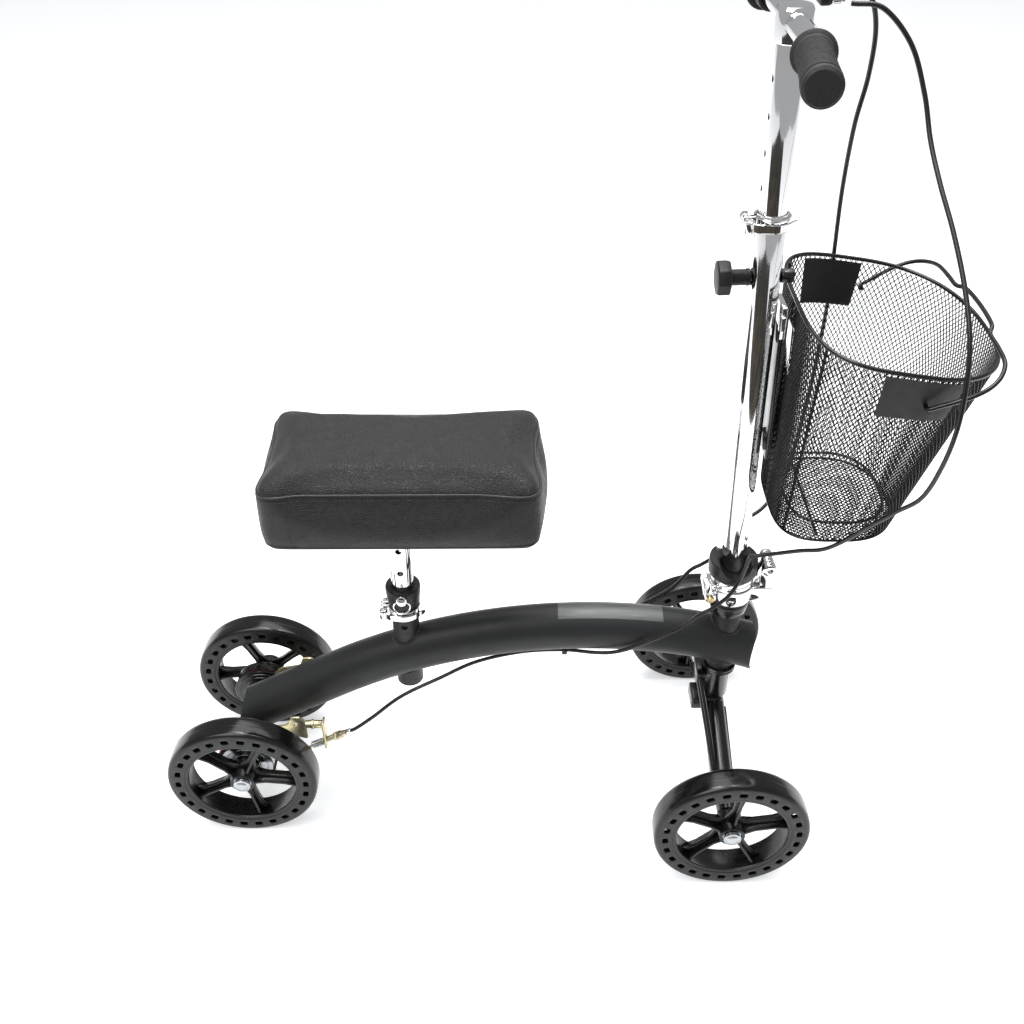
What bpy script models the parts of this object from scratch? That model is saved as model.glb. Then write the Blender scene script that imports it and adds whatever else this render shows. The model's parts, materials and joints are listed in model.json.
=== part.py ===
"""Steerable four-wheel knee scooter, modelled as separate named parts.

Metres, +Z up, +X forwards, the floor at Z = 0, the origin under the middle of the whole scooter.
The rider's right side is -Y and the left side is +Y.
"""

import math

import bmesh
import bpy
from mathutils import Matrix, Vector

# ------------------------------------------------------------------ driving dimensions
GAP = 0.0003  # left between pieces that rest on each other
CENTRE_SHIFT = 0.018713  # moves the finished scooter so that its middle stands over the origin

WHEEL_R = 0.100
WHEEL_WIDTH = 0.034
WHEELBASE = 0.644
REAR_TRACK = 0.194
FRONT_TRACK = 0.368
REAR_X = -0.405
HEAD_X = REAR_X + WHEELBASE
HUB_BORE_R = 0.0063
AXLE_R = 0.006
HOUSING_R = 0.013

BEAM_HALF_WIDTH = 0.0295
BEAM_HALF_HEIGHT = 0.032
BEAM_WALL = 0.002
BEAM_ARCH_R = 0.680
BEAM_CREST = (0.055, 0.2835)
BEAM_REAR_X = -0.424
BEAM_FRONT_X = 0.279
BEAM_STRAIGHT_X = -0.275
BEAM_END_LEAN = 0.3
FRONT_HOLLOW = 0.0065

HEAD_TUBE_R = 0.0185
HEAD_TUBE_BORE_R = 0.0155
HEAD_BOTTOM, HEAD_TOP = 0.2170, 0.314
CUP_BOTTOM, CUP_TOP = 0.2085, 0.3345
STEERER_R = 0.0127

SEAT_X = -0.1815
SEAT_TUBE_R = 0.0175
SEAT_TUBE_BORE_R = 0.0156
SEAT_TUBE_BOTTOM, SEAT_TUBE_TOP = 0.187, 0.330
SEAT_CLAMP_Z = 0.3175
SEAT_PIN_Z = 0.351
SEAT_POST_R = 0.0143
SEAT_POST_BOTTOM = 0.240
PAD_SIZE = (0.326, 0.178, 0.093)
PAD_X = -0.168
PAD_BOTTOM = 0.481
PLATE_SIZE = (0.270, 0.120, 0.005)

YOKE_TOP = 0.3630
KNUCKLE_TOP = 0.0335  # along the stem from its foot
FOLD_PIN = (HEAD_X + 0.041, 0.394)
FOLD_LEVER_PIVOT = (HEAD_X - 0.0300, 0.3537)
STEM_FOOT = (HEAD_X, 0.345)
STEM_LEAN = math.radians(2.0)
STEM_R = 0.0159
STEM_BORE_R = 0.0146
POST_R = 0.0143
STEM_TOP = 0.510  # along the stem from its foot
KNOB_AT = 0.4395
POST_BOTTOM, POST_TOP = 0.330, 0.672
BAR_HEIGHT = 0.690
BAR_R = 0.0111
BAR_BEND_Y = 0.070
BAR_HALF_WIDTH = 0.2135
BAR_SWEEP = 0.16
BAR_RISE = 0.05
GRIP_R = 0.0165

RIM_CENTRE = (0.362, 0.741)
RIM_FRONT, RIM_BACK, RIM_HALF_WIDTH = 0.106, 0.103, 0.1325
RIM_SLOPE = -0.155
BASE_CENTRE = (0.3385, 0.494)
BASE_FRONT, BASE_BACK, BASE_HALF_WIDTH = 0.070, 0.075, 0.083
BASKET_WALL = 0.0012
BAIL_PIVOT = (0.370, 0.706)
BAIL_WIRE_R = 0.0024
BAIL_TILT = math.radians(27)  # above level, at rest

CABLE_R = 0.0025
BRAKE_R = 0.0395
BRAKE_PIVOT = (REAR_X + 0.050, 0.128)
BRAKE_Y = 0.0555
BAND_Y = 0.0672
BRAKE_LEVER_PIVOT = (0.034, 0.088, 0.004)  # from the middle of the handlebar

# ------------------------------------------------------------------ materials
COLOURS = {
    "frame_black": ((0.022, 0.023, 0.024), 0.55, 0.0),
    "gloss_black": ((0.010, 0.010, 0.011), 0.25, 0.0),
    "chrome": ((0.80, 0.80, 0.81), 0.12, 1.0),
    "steel": ((0.45, 0.46, 0.48), 0.35, 1.0),
    "zinc": ((0.62, 0.52, 0.25), 0.35, 1.0),
    "tyre": ((0.012, 0.012, 0.013), 0.35, 0.0),
    "plastic": ((0.018, 0.018, 0.019), 0.45, 0.0),
    "rubber": ((0.015, 0.015, 0.015), 0.75, 0.0),
    "vinyl": ((0.020, 0.020, 0.021), 0.50, 0.0),
    "cable": ((0.008, 0.008, 0.008), 0.40, 0.0),
    "lining": ((0.35, 0.10, 0.06), 0.80, 0.0),
}


def material(name):
    found = bpy.data.materials.get(name)
    if found:
        return found
    colour, roughness, metallic = COLOURS[name]
    made = bpy.data.materials.new(name)
    made.use_nodes = True
    shader = made.node_tree.nodes["Principled BSDF"]
    shader.inputs["Base Color"].default_value = (*colour, 1.0)
    shader.inputs["Roughness"].default_value = roughness
    shader.inputs["Metallic"].default_value = metallic
    return made


# ------------------------------------------------------------------ mesh helpers
def to_mesh(bm, name):
    bmesh.ops.remove_doubles(bm, verts=bm.verts, dist=1e-6)
    bmesh.ops.recalc_face_normals(bm, faces=bm.faces)
    mesh = bpy.data.meshes.new(name)
    bm.to_mesh(mesh)
    bm.free()
    mesh.shade_smooth()
    mesh.set_sharp_from_angle(angle=math.radians(35))
    return mesh


def turned(profile, segments=32, name="turned"):
    """A solid turned about Z. The profile is a closed loop of (radius, z)."""
    bm = bmesh.new()
    rings = []
    for radius, z in profile:
        if radius < 1e-9:
            rings.append([bm.verts.new((0, 0, z))])
            continue
        ring = []
        for k in range(segments):
            a = 2 * math.pi * k / segments
            ring.append(bm.verts.new((radius * math.cos(a), radius * math.sin(a), z)))
        rings.append(ring)
    for low, high in zip(rings, rings[1:] + rings[:1]):
        if len(low) == 1 and len(high) == 1:
            continue
        for k in range(segments):
            n = (k + 1) % segments
            corners = [low[k % len(low)], low[n % len(low)], high[n % len(high)], high[k % len(high)]]
            bm.faces.new(list(dict.fromkeys(corners)))
    return to_mesh(bm, name)


def tube_profile(outer, bore, low, high, chamfer=0.0):
    c = chamfer
    return [(outer - c, low), (outer, low + c), (outer, high - c), (outer - c, high), (bore, high),
            (bore, low)]


def rod_profile(radius, low, high, chamfer=0.0):
    c = chamfer
    return [(0, low), (radius - c, low), (radius, low + c), (radius, high - c), (radius - c, high),
            (0, high)]


def swept(path, ring_at, closed=False, name="swept"):
    """Rings of points joined along a path; ring_at(i) gives ring i's points. Ends are capped unless closed."""
    bm = bmesh.new()
    rings = [[bm.verts.new(p) for p in ring_at(i)] for i in range(len(path))]
    pairs = list(zip(rings, rings[1:]))
    if closed:
        pairs.append((rings[-1], rings[0]))
    for a, b in pairs:
        for k in range(len(a)):
            n = (k + 1) % len(a)
            bm.faces.new((a[k], a[n], b[n], b[k]))
    if not closed:
        bm.faces.new(rings[0])
        bm.faces.new(rings[-1])
    return to_mesh(bm, name)


def frames_along(path):
    """For each point of a path: the point and two unit vectors across the path, turned as little as possible."""
    points = [Vector(p) for p in path]
    tangents = []
    for i in range(len(points)):
        before, after = points[max(i - 1, 0)], points[min(i + 1, len(points) - 1)]
        tangents.append((after - before).normalized())
    side = tangents[0].orthogonal().normalized()
    out = []
    for p, t in zip(points, tangents):
        side = (side - t * side.dot(t)).normalized()
        out.append((p, side, t.cross(side)))
    return out


def round_bar(path, radius, sides=12, name="bar"):
    frames = frames_along(path)

    def ring(i):
        p, u, v = frames[i]
        turns = [2 * math.pi * k / sides for k in range(sides)]
        return [p + radius * (math.cos(a) * u + math.sin(a) * v) for a in turns]

    return swept(path, ring, name=name)


def smooth_path(points, count):
    """A smooth curve through the points (Catmull-Rom), read at evenly spaced places."""
    p = [Vector(q) for q in points]
    p = [2 * p[0] - p[1]] + p + [2 * p[-1] - p[-2]]
    fine = []
    for a, b, c, d in zip(p, p[1:], p[2:], p[3:]):
        for k in range(24):
            t = k / 24
            fine.append(
                0.5 * (2 * b + (c - a) * t + (2 * a - 5 * b + 4 * c - d) * t**2 + (3 * b - a - 3 * c + d) * t**3)
            )
    fine.append(p[-2])
    lengths = [0.0]
    for a, b in zip(fine, fine[1:]):
        lengths.append(lengths[-1] + (b - a).length)
    out, j = [], 0
    for k in range(count):
        want = lengths[-1] * k / (count - 1)
        while j < len(fine) - 2 and lengths[j + 1] < want:
            j += 1
        share = (want - lengths[j]) / max(lengths[j + 1] - lengths[j], 1e-12)
        out.append(fine[j].lerp(fine[j + 1], min(share, 1.0)))
    return out


def block(size, centre=(0, 0, 0), bevel=0.0, name="block"):
    bm = bmesh.new()
    bmesh.ops.create_cube(bm, size=1.0)
    bmesh.ops.scale(bm, vec=size, verts=bm.verts)
    if bevel:
        bmesh.ops.bevel(bm, geom=bm.edges, offset=bevel, segments=2, affect="EDGES", profile=0.5)
    bmesh.ops.translate(bm, vec=centre, verts=bm.verts)
    return to_mesh(bm, name)


def plate(outline, thickness, name="plate"):
    """An outline in X and Z, given a thickness along Y, centred on Y = 0."""
    bm = bmesh.new()
    face = bm.faces.new([bm.verts.new((x, -thickness / 2, z)) for x, z in outline])
    grown = bmesh.ops.extrude_face_region(bm, geom=[face])
    moved = [v for v in grown["geom"] if isinstance(v, bmesh.types.BMVert)]
    bmesh.ops.translate(bm, vec=(0, thickness, 0), verts=moved)
    return to_mesh(bm, name)


def turned_onto(mesh, matrix):
    mesh.transform(matrix)
    return mesh


ALONG_Y = Matrix.Rotation(math.radians(-90), 4, "X")
ALONG_X = Matrix.Rotation(math.radians(90), 4, "Y")


def move(x, y, z):
    return Matrix.Translation((x, y, z))


# ------------------------------------------------------------------ object helpers
def joint(name, location, parent=None, lean=0.0):
    """An empty on a joint's axis, which the parts of one moving body hang from."""
    empty = bpy.data.objects.new(name, None)
    bpy.context.scene.collection.objects.link(empty)
    world = Matrix.Translation(location) @ Matrix.Rotation(-lean, 4, "Y")
    if parent:
        empty.parent = parent
        bpy.context.view_layer.update()
        empty.matrix_parent_inverse = parent.matrix_world.inverted()
    empty.matrix_world = world
    bpy.context.view_layer.update()
    return empty


def part(name, mesh, look, parent, location=(0, 0, 0), rotation=(0, 0, 0)):
    """One named part. Its mesh is in its parent's own frame, moved by location and rotation."""
    mesh.materials.clear()
    mesh.materials.append(material(look))
    made = bpy.data.objects.new(name, mesh)
    bpy.context.scene.collection.objects.link(made)
    made.parent = parent
    made.location = location
    made.rotation_euler = rotation
    return made


def world_part(name, mesh, look, parent):
    """One named part whose mesh is given in world coordinates, though it hangs from a joint."""
    bpy.context.view_layer.update()
    mesh.transform(parent.matrix_world.inverted())
    return part(name, mesh, look, parent)


def helper(mesh, target):
    """A hidden shape for a Boolean, in the frame of the part that it works on."""
    made = bpy.data.objects.new(f"{target.name}_helper", mesh)
    bpy.context.scene.collection.objects.link(made)
    made.parent = target
    made.hide_render = True
    made.display_type = "WIRE"
    return made


def combine(target, mesh, operation):
    modifier = target.modifiers.new(operation.lower(), "BOOLEAN")
    modifier.operation = operation
    modifier.solver = "EXACT"
    modifier.object = helper(mesh, target)


def cut(target, mesh):
    combine(target, mesh, "DIFFERENCE")


def add(target, mesh):
    combine(target, mesh, "UNION")


# ------------------------------------------------------------------ main frame
def beam_height(x):
    """Height of the beam's middle: an arc of a circle, then straight down to the rear."""
    crest_x, crest_z = BEAM_CREST

    def arc(at):
        return crest_z - BEAM_ARCH_R + math.sqrt(BEAM_ARCH_R**2 - (at - crest_x) ** 2)

    if x >= BEAM_STRAIGHT_X:
        return arc(x)
    reach = crest_x - BEAM_STRAIGHT_X
    slope = reach / math.sqrt(BEAM_ARCH_R**2 - reach**2)
    return arc(BEAM_STRAIGHT_X) - slope * (BEAM_STRAIGHT_X - x)


def main_tube_mesh():
    stations, sides = 13, 20
    xs = [BEAM_REAR_X + (BEAM_FRONT_X - BEAM_REAR_X) * i / (stations - 1) for i in range(stations)]
    outer, inner = [], []
    for x in xs:
        slope = (beam_height(x + 1e-4) - beam_height(x - 1e-4)) / 2e-4
        stretch = math.sqrt(1 + slope**2)
        lean = BEAM_END_LEAN * max(0.0, 1 - (x - BEAM_REAR_X) / 0.1)
        for ring, wall in ((outer, 0.0), (inner, BEAM_WALL)):
            points = []
            for k in range(sides):
                a = 2 * math.pi * k / sides
                y = (BEAM_HALF_WIDTH - wall) * math.cos(a)
                z = (BEAM_HALF_HEIGHT - wall) * stretch * math.sin(a)
                hollow = FRONT_HOLLOW * (1 - math.sin(a) ** 2) if x == xs[-1] else 0.0
                points.append((x + lean * z - hollow, y, beam_height(x) + (1 + lean * slope) * z))
            ring.append(points)
    rings = outer + inner[::-1]
    return swept(rings, lambda i: rings[i], closed=True, name="main_tube")


def build_frame(root):
    beam = part("main_tube", main_tube_mesh(), "frame_black", root)
    head_hole = turned_onto(
        turned(rod_profile(HEAD_TUBE_R + GAP, 0.15, 0.35), 20), move(HEAD_X, 0, 0)
    )
    seat_hole = turned_onto(
        turned(rod_profile(SEAT_TUBE_R + GAP, 0.12, 0.36), 20), move(SEAT_X, 0, 0)
    )
    axle_hole = turned_onto(turned(rod_profile(HOUSING_R + GAP, -0.06, 0.06), 24),
                            move(REAR_X, 0, WHEEL_R) @ ALONG_Y)
    for hole in (head_hole, seat_hole, axle_hole):
        cut(beam, hole)

    head = turned(tube_profile(HEAD_TUBE_R, HEAD_TUBE_BORE_R, HEAD_BOTTOM, HEAD_TOP, 0.001), 20)
    part("head_tube", turned_onto(head, move(HEAD_X, 0, 0)), "frame_black", root)
    lower = tube_profile(0.0222, STEERER_R + 0.0004, CUP_BOTTOM, HEAD_BOTTOM - GAP, 0.0015)
    part("headset_lower", turned_onto(turned(lower, 20), move(HEAD_X, 0, 0)), "gloss_black", root)
    upper = tube_profile(0.0250, STEERER_R + 0.0004, HEAD_TOP + GAP, CUP_TOP, 0.0025)
    part("headset_upper", turned_onto(turned(upper, 20), move(HEAD_X, 0, 0)), "gloss_black", root)

    seat = part(
        "seat_tube",
        turned_onto(
            turned(tube_profile(SEAT_TUBE_R, SEAT_TUBE_BORE_R, SEAT_TUBE_BOTTOM, SEAT_TUBE_TOP, 0.0005), 20),
            move(SEAT_X, 0, 0),
        ),
        "frame_black",
        root,
    )
    spare_hole = turned(rod_profile(0.0042, -0.03, 0.0), 12)
    cut(seat, turned_onto(spare_hole, move(SEAT_X, 0, 0.297) @ ALONG_Y))

    housing = turned(tube_profile(HOUSING_R, AXLE_R + GAP, -0.0560, 0.0560, 0.001), 24)
    part("rear_axle_housing", turned_onto(housing, move(REAR_X, 0, WHEEL_R) @ ALONG_Y), "frame_black", root)
    head_y = REAR_TRACK / 2 + WHEEL_WIDTH / 2
    axle = [
        (0, -head_y - 0.0055), (0.008, -head_y - 0.0050), (0.0105, -head_y - 0.0035),
        (0.0105, -head_y - 0.0008),
        (AXLE_R, -head_y - 0.0008), (AXLE_R, head_y + 0.0008), (0.0105, head_y + 0.0008),
        (0.0105, head_y + 0.0035), (0.008, head_y + 0.0050), (0, head_y + 0.0055),
    ]
    part("rear_axle", turned_onto(turned(axle, 20), move(REAR_X, 0, WHEEL_R) @ ALONG_Y), "chrome", root)


# ------------------------------------------------------------------ wheels
def tyre_mesh():
    half, inner = WHEEL_WIDTH / 2, 0.0760
    shoulder = [(0.0960, half), (0.0985, half - 0.0022), (WHEEL_R, half - 0.0070)]
    profile = [(inner, -half + 0.001), (inner, half - 0.001), (inner + 0.001, half)] + shoulder
    profile += [(r, -z) for r, z in shoulder[::-1]] + [(inner + 0.001, -half)]
    return turned_onto(turned(profile, 36, "tyre"), ALONG_Y)


def wheel_core_mesh():
    """Rim ring, five ribs and hub, drawn as one piece about Y."""
    spokes, per_spoke = 5, 6
    steps = spokes * per_spoke
    rim_out, rim_in, hub_out = 0.0757, 0.0725, 0.0165
    half, hub_half, web = 0.0160, 0.0168, 0.0060
    bm = bmesh.new()

    def ring(radius, z):
        turns = [2 * math.pi * (k + 0.5) / steps for k in range(steps)]
        return [bm.verts.new((radius * math.cos(a), radius * math.sin(a), z)) for a in turns]

    outer = [ring(rim_out, half), ring(rim_out, -half)]
    wall = [ring(rim_in, z) for z in (half, web, -web, -half)]
    hub = [ring(hub_out, z) for z in (hub_half, web, -web, -hub_half)]
    bore = [ring(HUB_BORE_R, hub_half), ring(HUB_BORE_R, -hub_half)]

    def band(a, b, keep=lambda k: True):
        for k in range(steps):
            if keep(k):
                n = (k + 1) % steps
                bm.faces.new((a[k], a[n], b[n], b[k]))

    def rib(k):
        return k % per_spoke == 0

    band(outer[0], outer[1])
    band(outer[1], wall[3])
    band(wall[0], outer[0])
    band(wall[1], wall[0])
    band(wall[3], wall[2])
    band(wall[2], wall[1], lambda k: not rib(k))
    band(hub[0], hub[1])
    band(hub[2], hub[3])
    band(hub[1], hub[2], lambda k: not rib(k))
    band(bore[0], hub[0])
    band(hub[3], bore[1])
    band(bore[1], bore[0])
    band(wall[1], hub[1], rib)
    band(hub[2], wall[2], rib)
    for k in range(steps):
        if rib(k) != rib((k - 1) % steps):
            bm.faces.new((wall[1][k], hub[1][k], hub[2][k], wall[2][k]))
    return turned_onto(to_mesh(bm, "wheel_core"), ALONG_Y)


def build_wheel(name, empty, tyre, core):
    part(f"tyre_{name}", tyre, "tyre", empty)
    part(f"wheel_{name}", core, "gloss_black", empty)


# ------------------------------------------------------------------ rear brakes
def band_mesh():
    """A strap that wraps the drum, open towards the front."""
    opening, steps = math.radians(28), 22
    angles = [opening + (2 * math.pi - 2 * opening) * k / steps for k in range(steps + 1)]
    inner, outer, half = BRAKE_R - 0.0015, BRAKE_R + 0.0010, 0.0065

    def ring(i):
        c, s = math.cos(angles[i]), math.sin(angles[i])
        return [
            (inner * c, -half, inner * s), (outer * c, -half, outer * s),
            (outer * c, half, outer * s), (inner * c, half, inner * s),
        ]

    return swept(angles, ring, name="brake_band")


def cable_line():
    """Where the inner cable runs at each brake: a point and the unit direction towards the front."""
    start = Vector((REAR_X + 0.084, 0, 0.1085))
    end = Vector((REAR_X + 0.136, 0, 0.1370))
    return start, (end - start).normalized()


def build_brake(side, sign, root, wheel, arm):
    y = sign * BRAKE_Y
    axle = move(REAR_X, 0, WHEEL_R) @ ALONG_Y
    drum_in, drum_out = 0.0585, 0.0790
    web = 0.0030
    drum = [
        (0.0150, drum_in), (0.0360, drum_in), (0.0360, drum_out), (0.0070, drum_out),
        (0.0070, drum_out - web),
        (0.0320, drum_out - web), (0.0320, drum_in + web), (0.0150, drum_in + web),
    ]
    drum = [(r, sign * z) for r, z in drum]
    world_part(f"brake_drum_{side}", turned_onto(turned(drum, 24), axle), "steel", wheel)

    part(f"brake_band_{side}", turned_onto(band_mesh(), move(REAR_X, sign * BAND_Y, WHEEL_R)), "lining",
         root)

    cover = [
        (HOUSING_R + GAP, 0.0440), (0.022, 0.0440), (0.0275, 0.0500), (0.036, 0.0515), (0.0415, 0.0535),
        (0.0415, 0.0570), (0.030, 0.0570), (0.018, 0.0560), (HOUSING_R + GAP, 0.0560),
    ]
    cover = [(r, sign * z) for r, z in cover]
    part(f"brake_cover_{side}", turned_onto(turned(cover, 24), axle), "gloss_black", root)

    x0, z0 = BRAKE_PIVOT
    ear = []
    for degrees in (22, 32, 42, 52, 62):
        a = math.radians(degrees)
        ear.append((REAR_X + 0.0419 * math.cos(a), WHEEL_R + 0.0419 * math.sin(a)))
    ear += [(x0 - 0.018, z0 + 0.020), (x0 + 0.008, z0 + 0.026), (x0 + 0.014, z0 + 0.040),
            (x0 + 0.026, z0 + 0.040),
            (x0 + 0.034, z0 + 0.030), (x0 + 0.034, z0 - 0.002), (x0 + 0.020, z0 + 0.002),
            (x0 + 0.006, z0 - 0.012)]
    bracket = part(
        f"brake_bracket_{side}", turned_onto(plate(ear, 0.003), move(0, y, 0)), "zinc", root
    )
    stub = turned(rod_profile(0.0030, 0.0, sign * 0.0090), 14)
    add(bracket, turned_onto(stub, move(x0, y, z0) @ ALONG_Y))
    boss = turned(rod_profile(0.0055, 0, 0.024, 0.0005), 14)
    add(bracket, turned_onto(boss, move(x0 + 0.033, y, z0 + 0.026) @ ALONG_X))
    add(bracket, block((0.003, 0.016, 0.056), (x0 + 0.0575, y, z0 + 0.012)))
    start, along = cable_line()
    tilt = Matrix.Rotation(math.atan2(along.x, along.z), 4, "Y")
    barrel = turned(
        [(0, 0.024), (0.0042, 0.024), (0.0042, 0.047), (0.0055, 0.047), (0.0055, 0.053), (0.0040, 0.056),
         (0.0040, 0.060), (0, 0.060)], 12)
    add(bracket, turned_onto(barrel, move(start.x, y, start.z) @ tilt))
    cut(bracket, turned_onto(turned(rod_profile(0.0035, -0.02, 0.02), 12), move(x0 + 0.020, y, z0 + 0.027) @ ALONG_Y))

    hook = [(x0 - 0.006, z0 + 0.003), (x0, z0 + 0.0065), (x0 + 0.006, z0 + 0.003), (x0 + 0.009, z0 - 0.006),
            (x0 + 0.024, z0 - 0.014), (start.x + 0.003, start.z + 0.004), (start.x - 0.001, start.z - 0.008),
            (x0 + 0.014, z0 - 0.021), (x0 - 0.002, z0 - 0.014)]
    made = turned_onto(plate(hook, 0.0030), move(0, sign * (BRAKE_Y + 0.0040), 0))
    made = world_part(f"brake_arm_{side}", made, "zinc", arm)
    hole = turned(rod_profile(0.0033, -0.02, 0.02), 14)
    cut(made, turned_onto(hole, ALONG_Y.copy()))


# ------------------------------------------------------------------ quick-release clamps
def clamp_band_mesh(bore, outer, height, ear_reach):
    """A split ring about Z with two ears at the rear that the bolt pulls together."""
    ears = 0.0040
    half_gap = 0.0015
    steps = 26
    start = math.asin(half_gap / outer)
    angles = [math.pi + start + (2 * math.pi - 2 * start) * k / steps for k in range(steps + 1)]
    low, high = -height / 2, height / 2

    def ring(i):
        c, s = math.cos(angles[i]), math.sin(angles[i])
        return [(bore * c, bore * s, low), (outer * c, outer * s, low), (outer * c, outer * s, high),
                (bore * c, bore * s, high)]

    band = swept(angles, ring, name="band")
    lugs = []
    for sign in (-1, 1):
        size = (ear_reach, ears, height)
        centre = (-outer - ear_reach / 2 + 0.0025, sign * (half_gap + ears / 2), 0)
        lugs.append(block(size, centre))
    return band, lugs


def clamp_lever_mesh(radius, pivot, sweep_degrees, height):
    """A curved blade that starts at its cam and wraps the near side of a clamp."""
    px, py = pivot
    steps = 12
    first = math.atan2(py, px)
    angles = [first + math.radians(sweep_degrees) * k / steps for k in range(steps + 1)]
    start_r = math.hypot(px, py)

    def ring(i):
        share = i / steps
        r = start_r + (radius - start_r) * min(1.0, share * 3)
        flare = 0.004 * max(0.0, share - 0.85) / 0.15
        c, s = math.cos(angles[i]), math.sin(angles[i])
        half = height / 2 * (1.0 - 0.25 * share)
        a, b = r - 0.0012 + flare, r + 0.0012 + flare
        return [(a * c, a * s, -half), (b * c, b * s, -half), (b * c, b * s, half), (a * c, a * s, half)]

    return swept(angles, ring, name="lever")


def build_clamp(prefix, parent, lever_joint, height_at, tube_r, centre=(0, 0)):
    """A clamp round a tube: band with ears, bolt and nut in one piece, and a lever on its own joint."""
    cx, cy = centre
    height = 0.014
    bore, outer = tube_r + GAP, tube_r + 0.0032
    band, lugs = clamp_band_mesh(bore, outer, height, 0.013)
    at = move(cx, cy, height_at)
    made = part(prefix, turned_onto(band, at), "chrome", parent)
    for lug in lugs:
        add(made, turned_onto(lug, at))
    bolt = turned([(0, 0.0), (0.0030, 0.0), (0.0030, 0.0160), (0.0052, 0.0160), (0.0052, 0.0205),
                   (0, 0.0205)], 12)
    bolt_x = -outer - 0.0055
    add(made, turned_onto(bolt, at @ move(bolt_x, -0.0035, 0) @ ALONG_Y))
    lever = clamp_lever_mesh(outer + 0.0026, (bolt_x, -0.0125), 140, 0.0095)
    cam = turned(rod_profile(0.0055, -0.0062, 0.0062, 0.0008), 16)
    blade = part(f"{prefix}_lever", turned_onto(lever, at), "chrome", parent)
    add(blade, turned_onto(cam, at @ move(bolt_x, -0.0125, 0)))
    rebase(blade, lever_joint)
    return made


def rebase(obj, new_parent):
    """Hangs a part from another joint and leaves it where it is."""
    bpy.context.view_layer.update()
    world = obj.matrix_world.copy()
    obj.parent = new_parent
    obj.matrix_parent_inverse = Matrix.Identity(4)
    obj.matrix_basis = new_parent.matrix_world.inverted() @ world


def clamp_lever_place(height_at, tube_r, centre=(0, 0)):
    return centre[0] - (tube_r + 0.0032) - 0.0055, centre[1] - 0.0125, height_at


# ------------------------------------------------------------------ seat
def build_seat_clamp(root, lever_joint, pin_joint):
    top = 0.358
    profile = [(SEAT_POST_R + GAP, 0.275), (SEAT_TUBE_BORE_R - GAP, 0.275),
               (SEAT_TUBE_BORE_R - GAP, SEAT_TUBE_TOP + GAP),
               (0.0205, SEAT_TUBE_TOP + GAP), (0.0215, 0.342), (0.0225, top - 0.002), (0.0215, top),
               (SEAT_POST_R + GAP, top)]
    made = part("seat_collar", turned_onto(turned(profile, 24), move(SEAT_X, 0, 0)), "plastic", root)
    saddle = turned(rod_profile(0.0300, -0.05, 0.05), 40)
    cut(made, turned_onto(saddle, move(SEAT_X, 0, 0.3862) @ ALONG_Y))
    pin_hole = turned(rod_profile(0.0042, -0.03, 0.0), 12)
    cut(made, turned_onto(pin_hole, move(SEAT_X, 0, SEAT_PIN_Z) @ ALONG_Y))
    build_clamp("seat_clamp", root, lever_joint, SEAT_CLAMP_Z, SEAT_TUBE_R, (SEAT_X, 0))

    pin = [(0, -0.0147), (0.0036, -0.0147), (0.0036, -0.0232), (0.0062, -0.0236), (0.0066, -0.0280),
           (0.0045, -0.0305), (0, -0.0310)]
    world_part("seat_pin", turned_onto(turned(pin, 14), move(SEAT_X, 0, SEAT_PIN_Z) @ ALONG_Y), "chrome",
               pin_joint)


def build_seat(seat):
    top = PAD_BOTTOM - GAP - PLATE_SIZE[2]
    tube = tube_profile(SEAT_POST_R, SEAT_POST_R - 0.0017, SEAT_POST_BOTTOM, top - GAP, 0.0)
    post = turned_onto(turned(tube, 20), move(SEAT_X, 0, 0))
    bpy.context.view_layer.update()
    made = world_part("seat_post", post, "chrome", seat)
    inverse = seat.matrix_world.inverted()
    first, spacing, count = SEAT_PIN_Z, 0.036, 5
    for k in range(count):
        hole = turned(rod_profile(0.0040, -0.03, 0.0), 12)
        place = move(SEAT_X, 0, first + spacing * (k - 1))
        cut(made, turned_onto(hole, inverse @ place @ ALONG_Y))
    low = PAD_BOTTOM - GAP - PLATE_SIZE[2] / 2
    world_part("pad_plate", block(PLATE_SIZE, (PAD_X, 0, low), 0.0015), "steel", seat)
    pad = block(PAD_SIZE, (PAD_X, 0, PAD_BOTTOM + PAD_SIZE[2] / 2), 0.012, "knee_pad")
    world_part("knee_pad", pad, "vinyl", seat)


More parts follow.
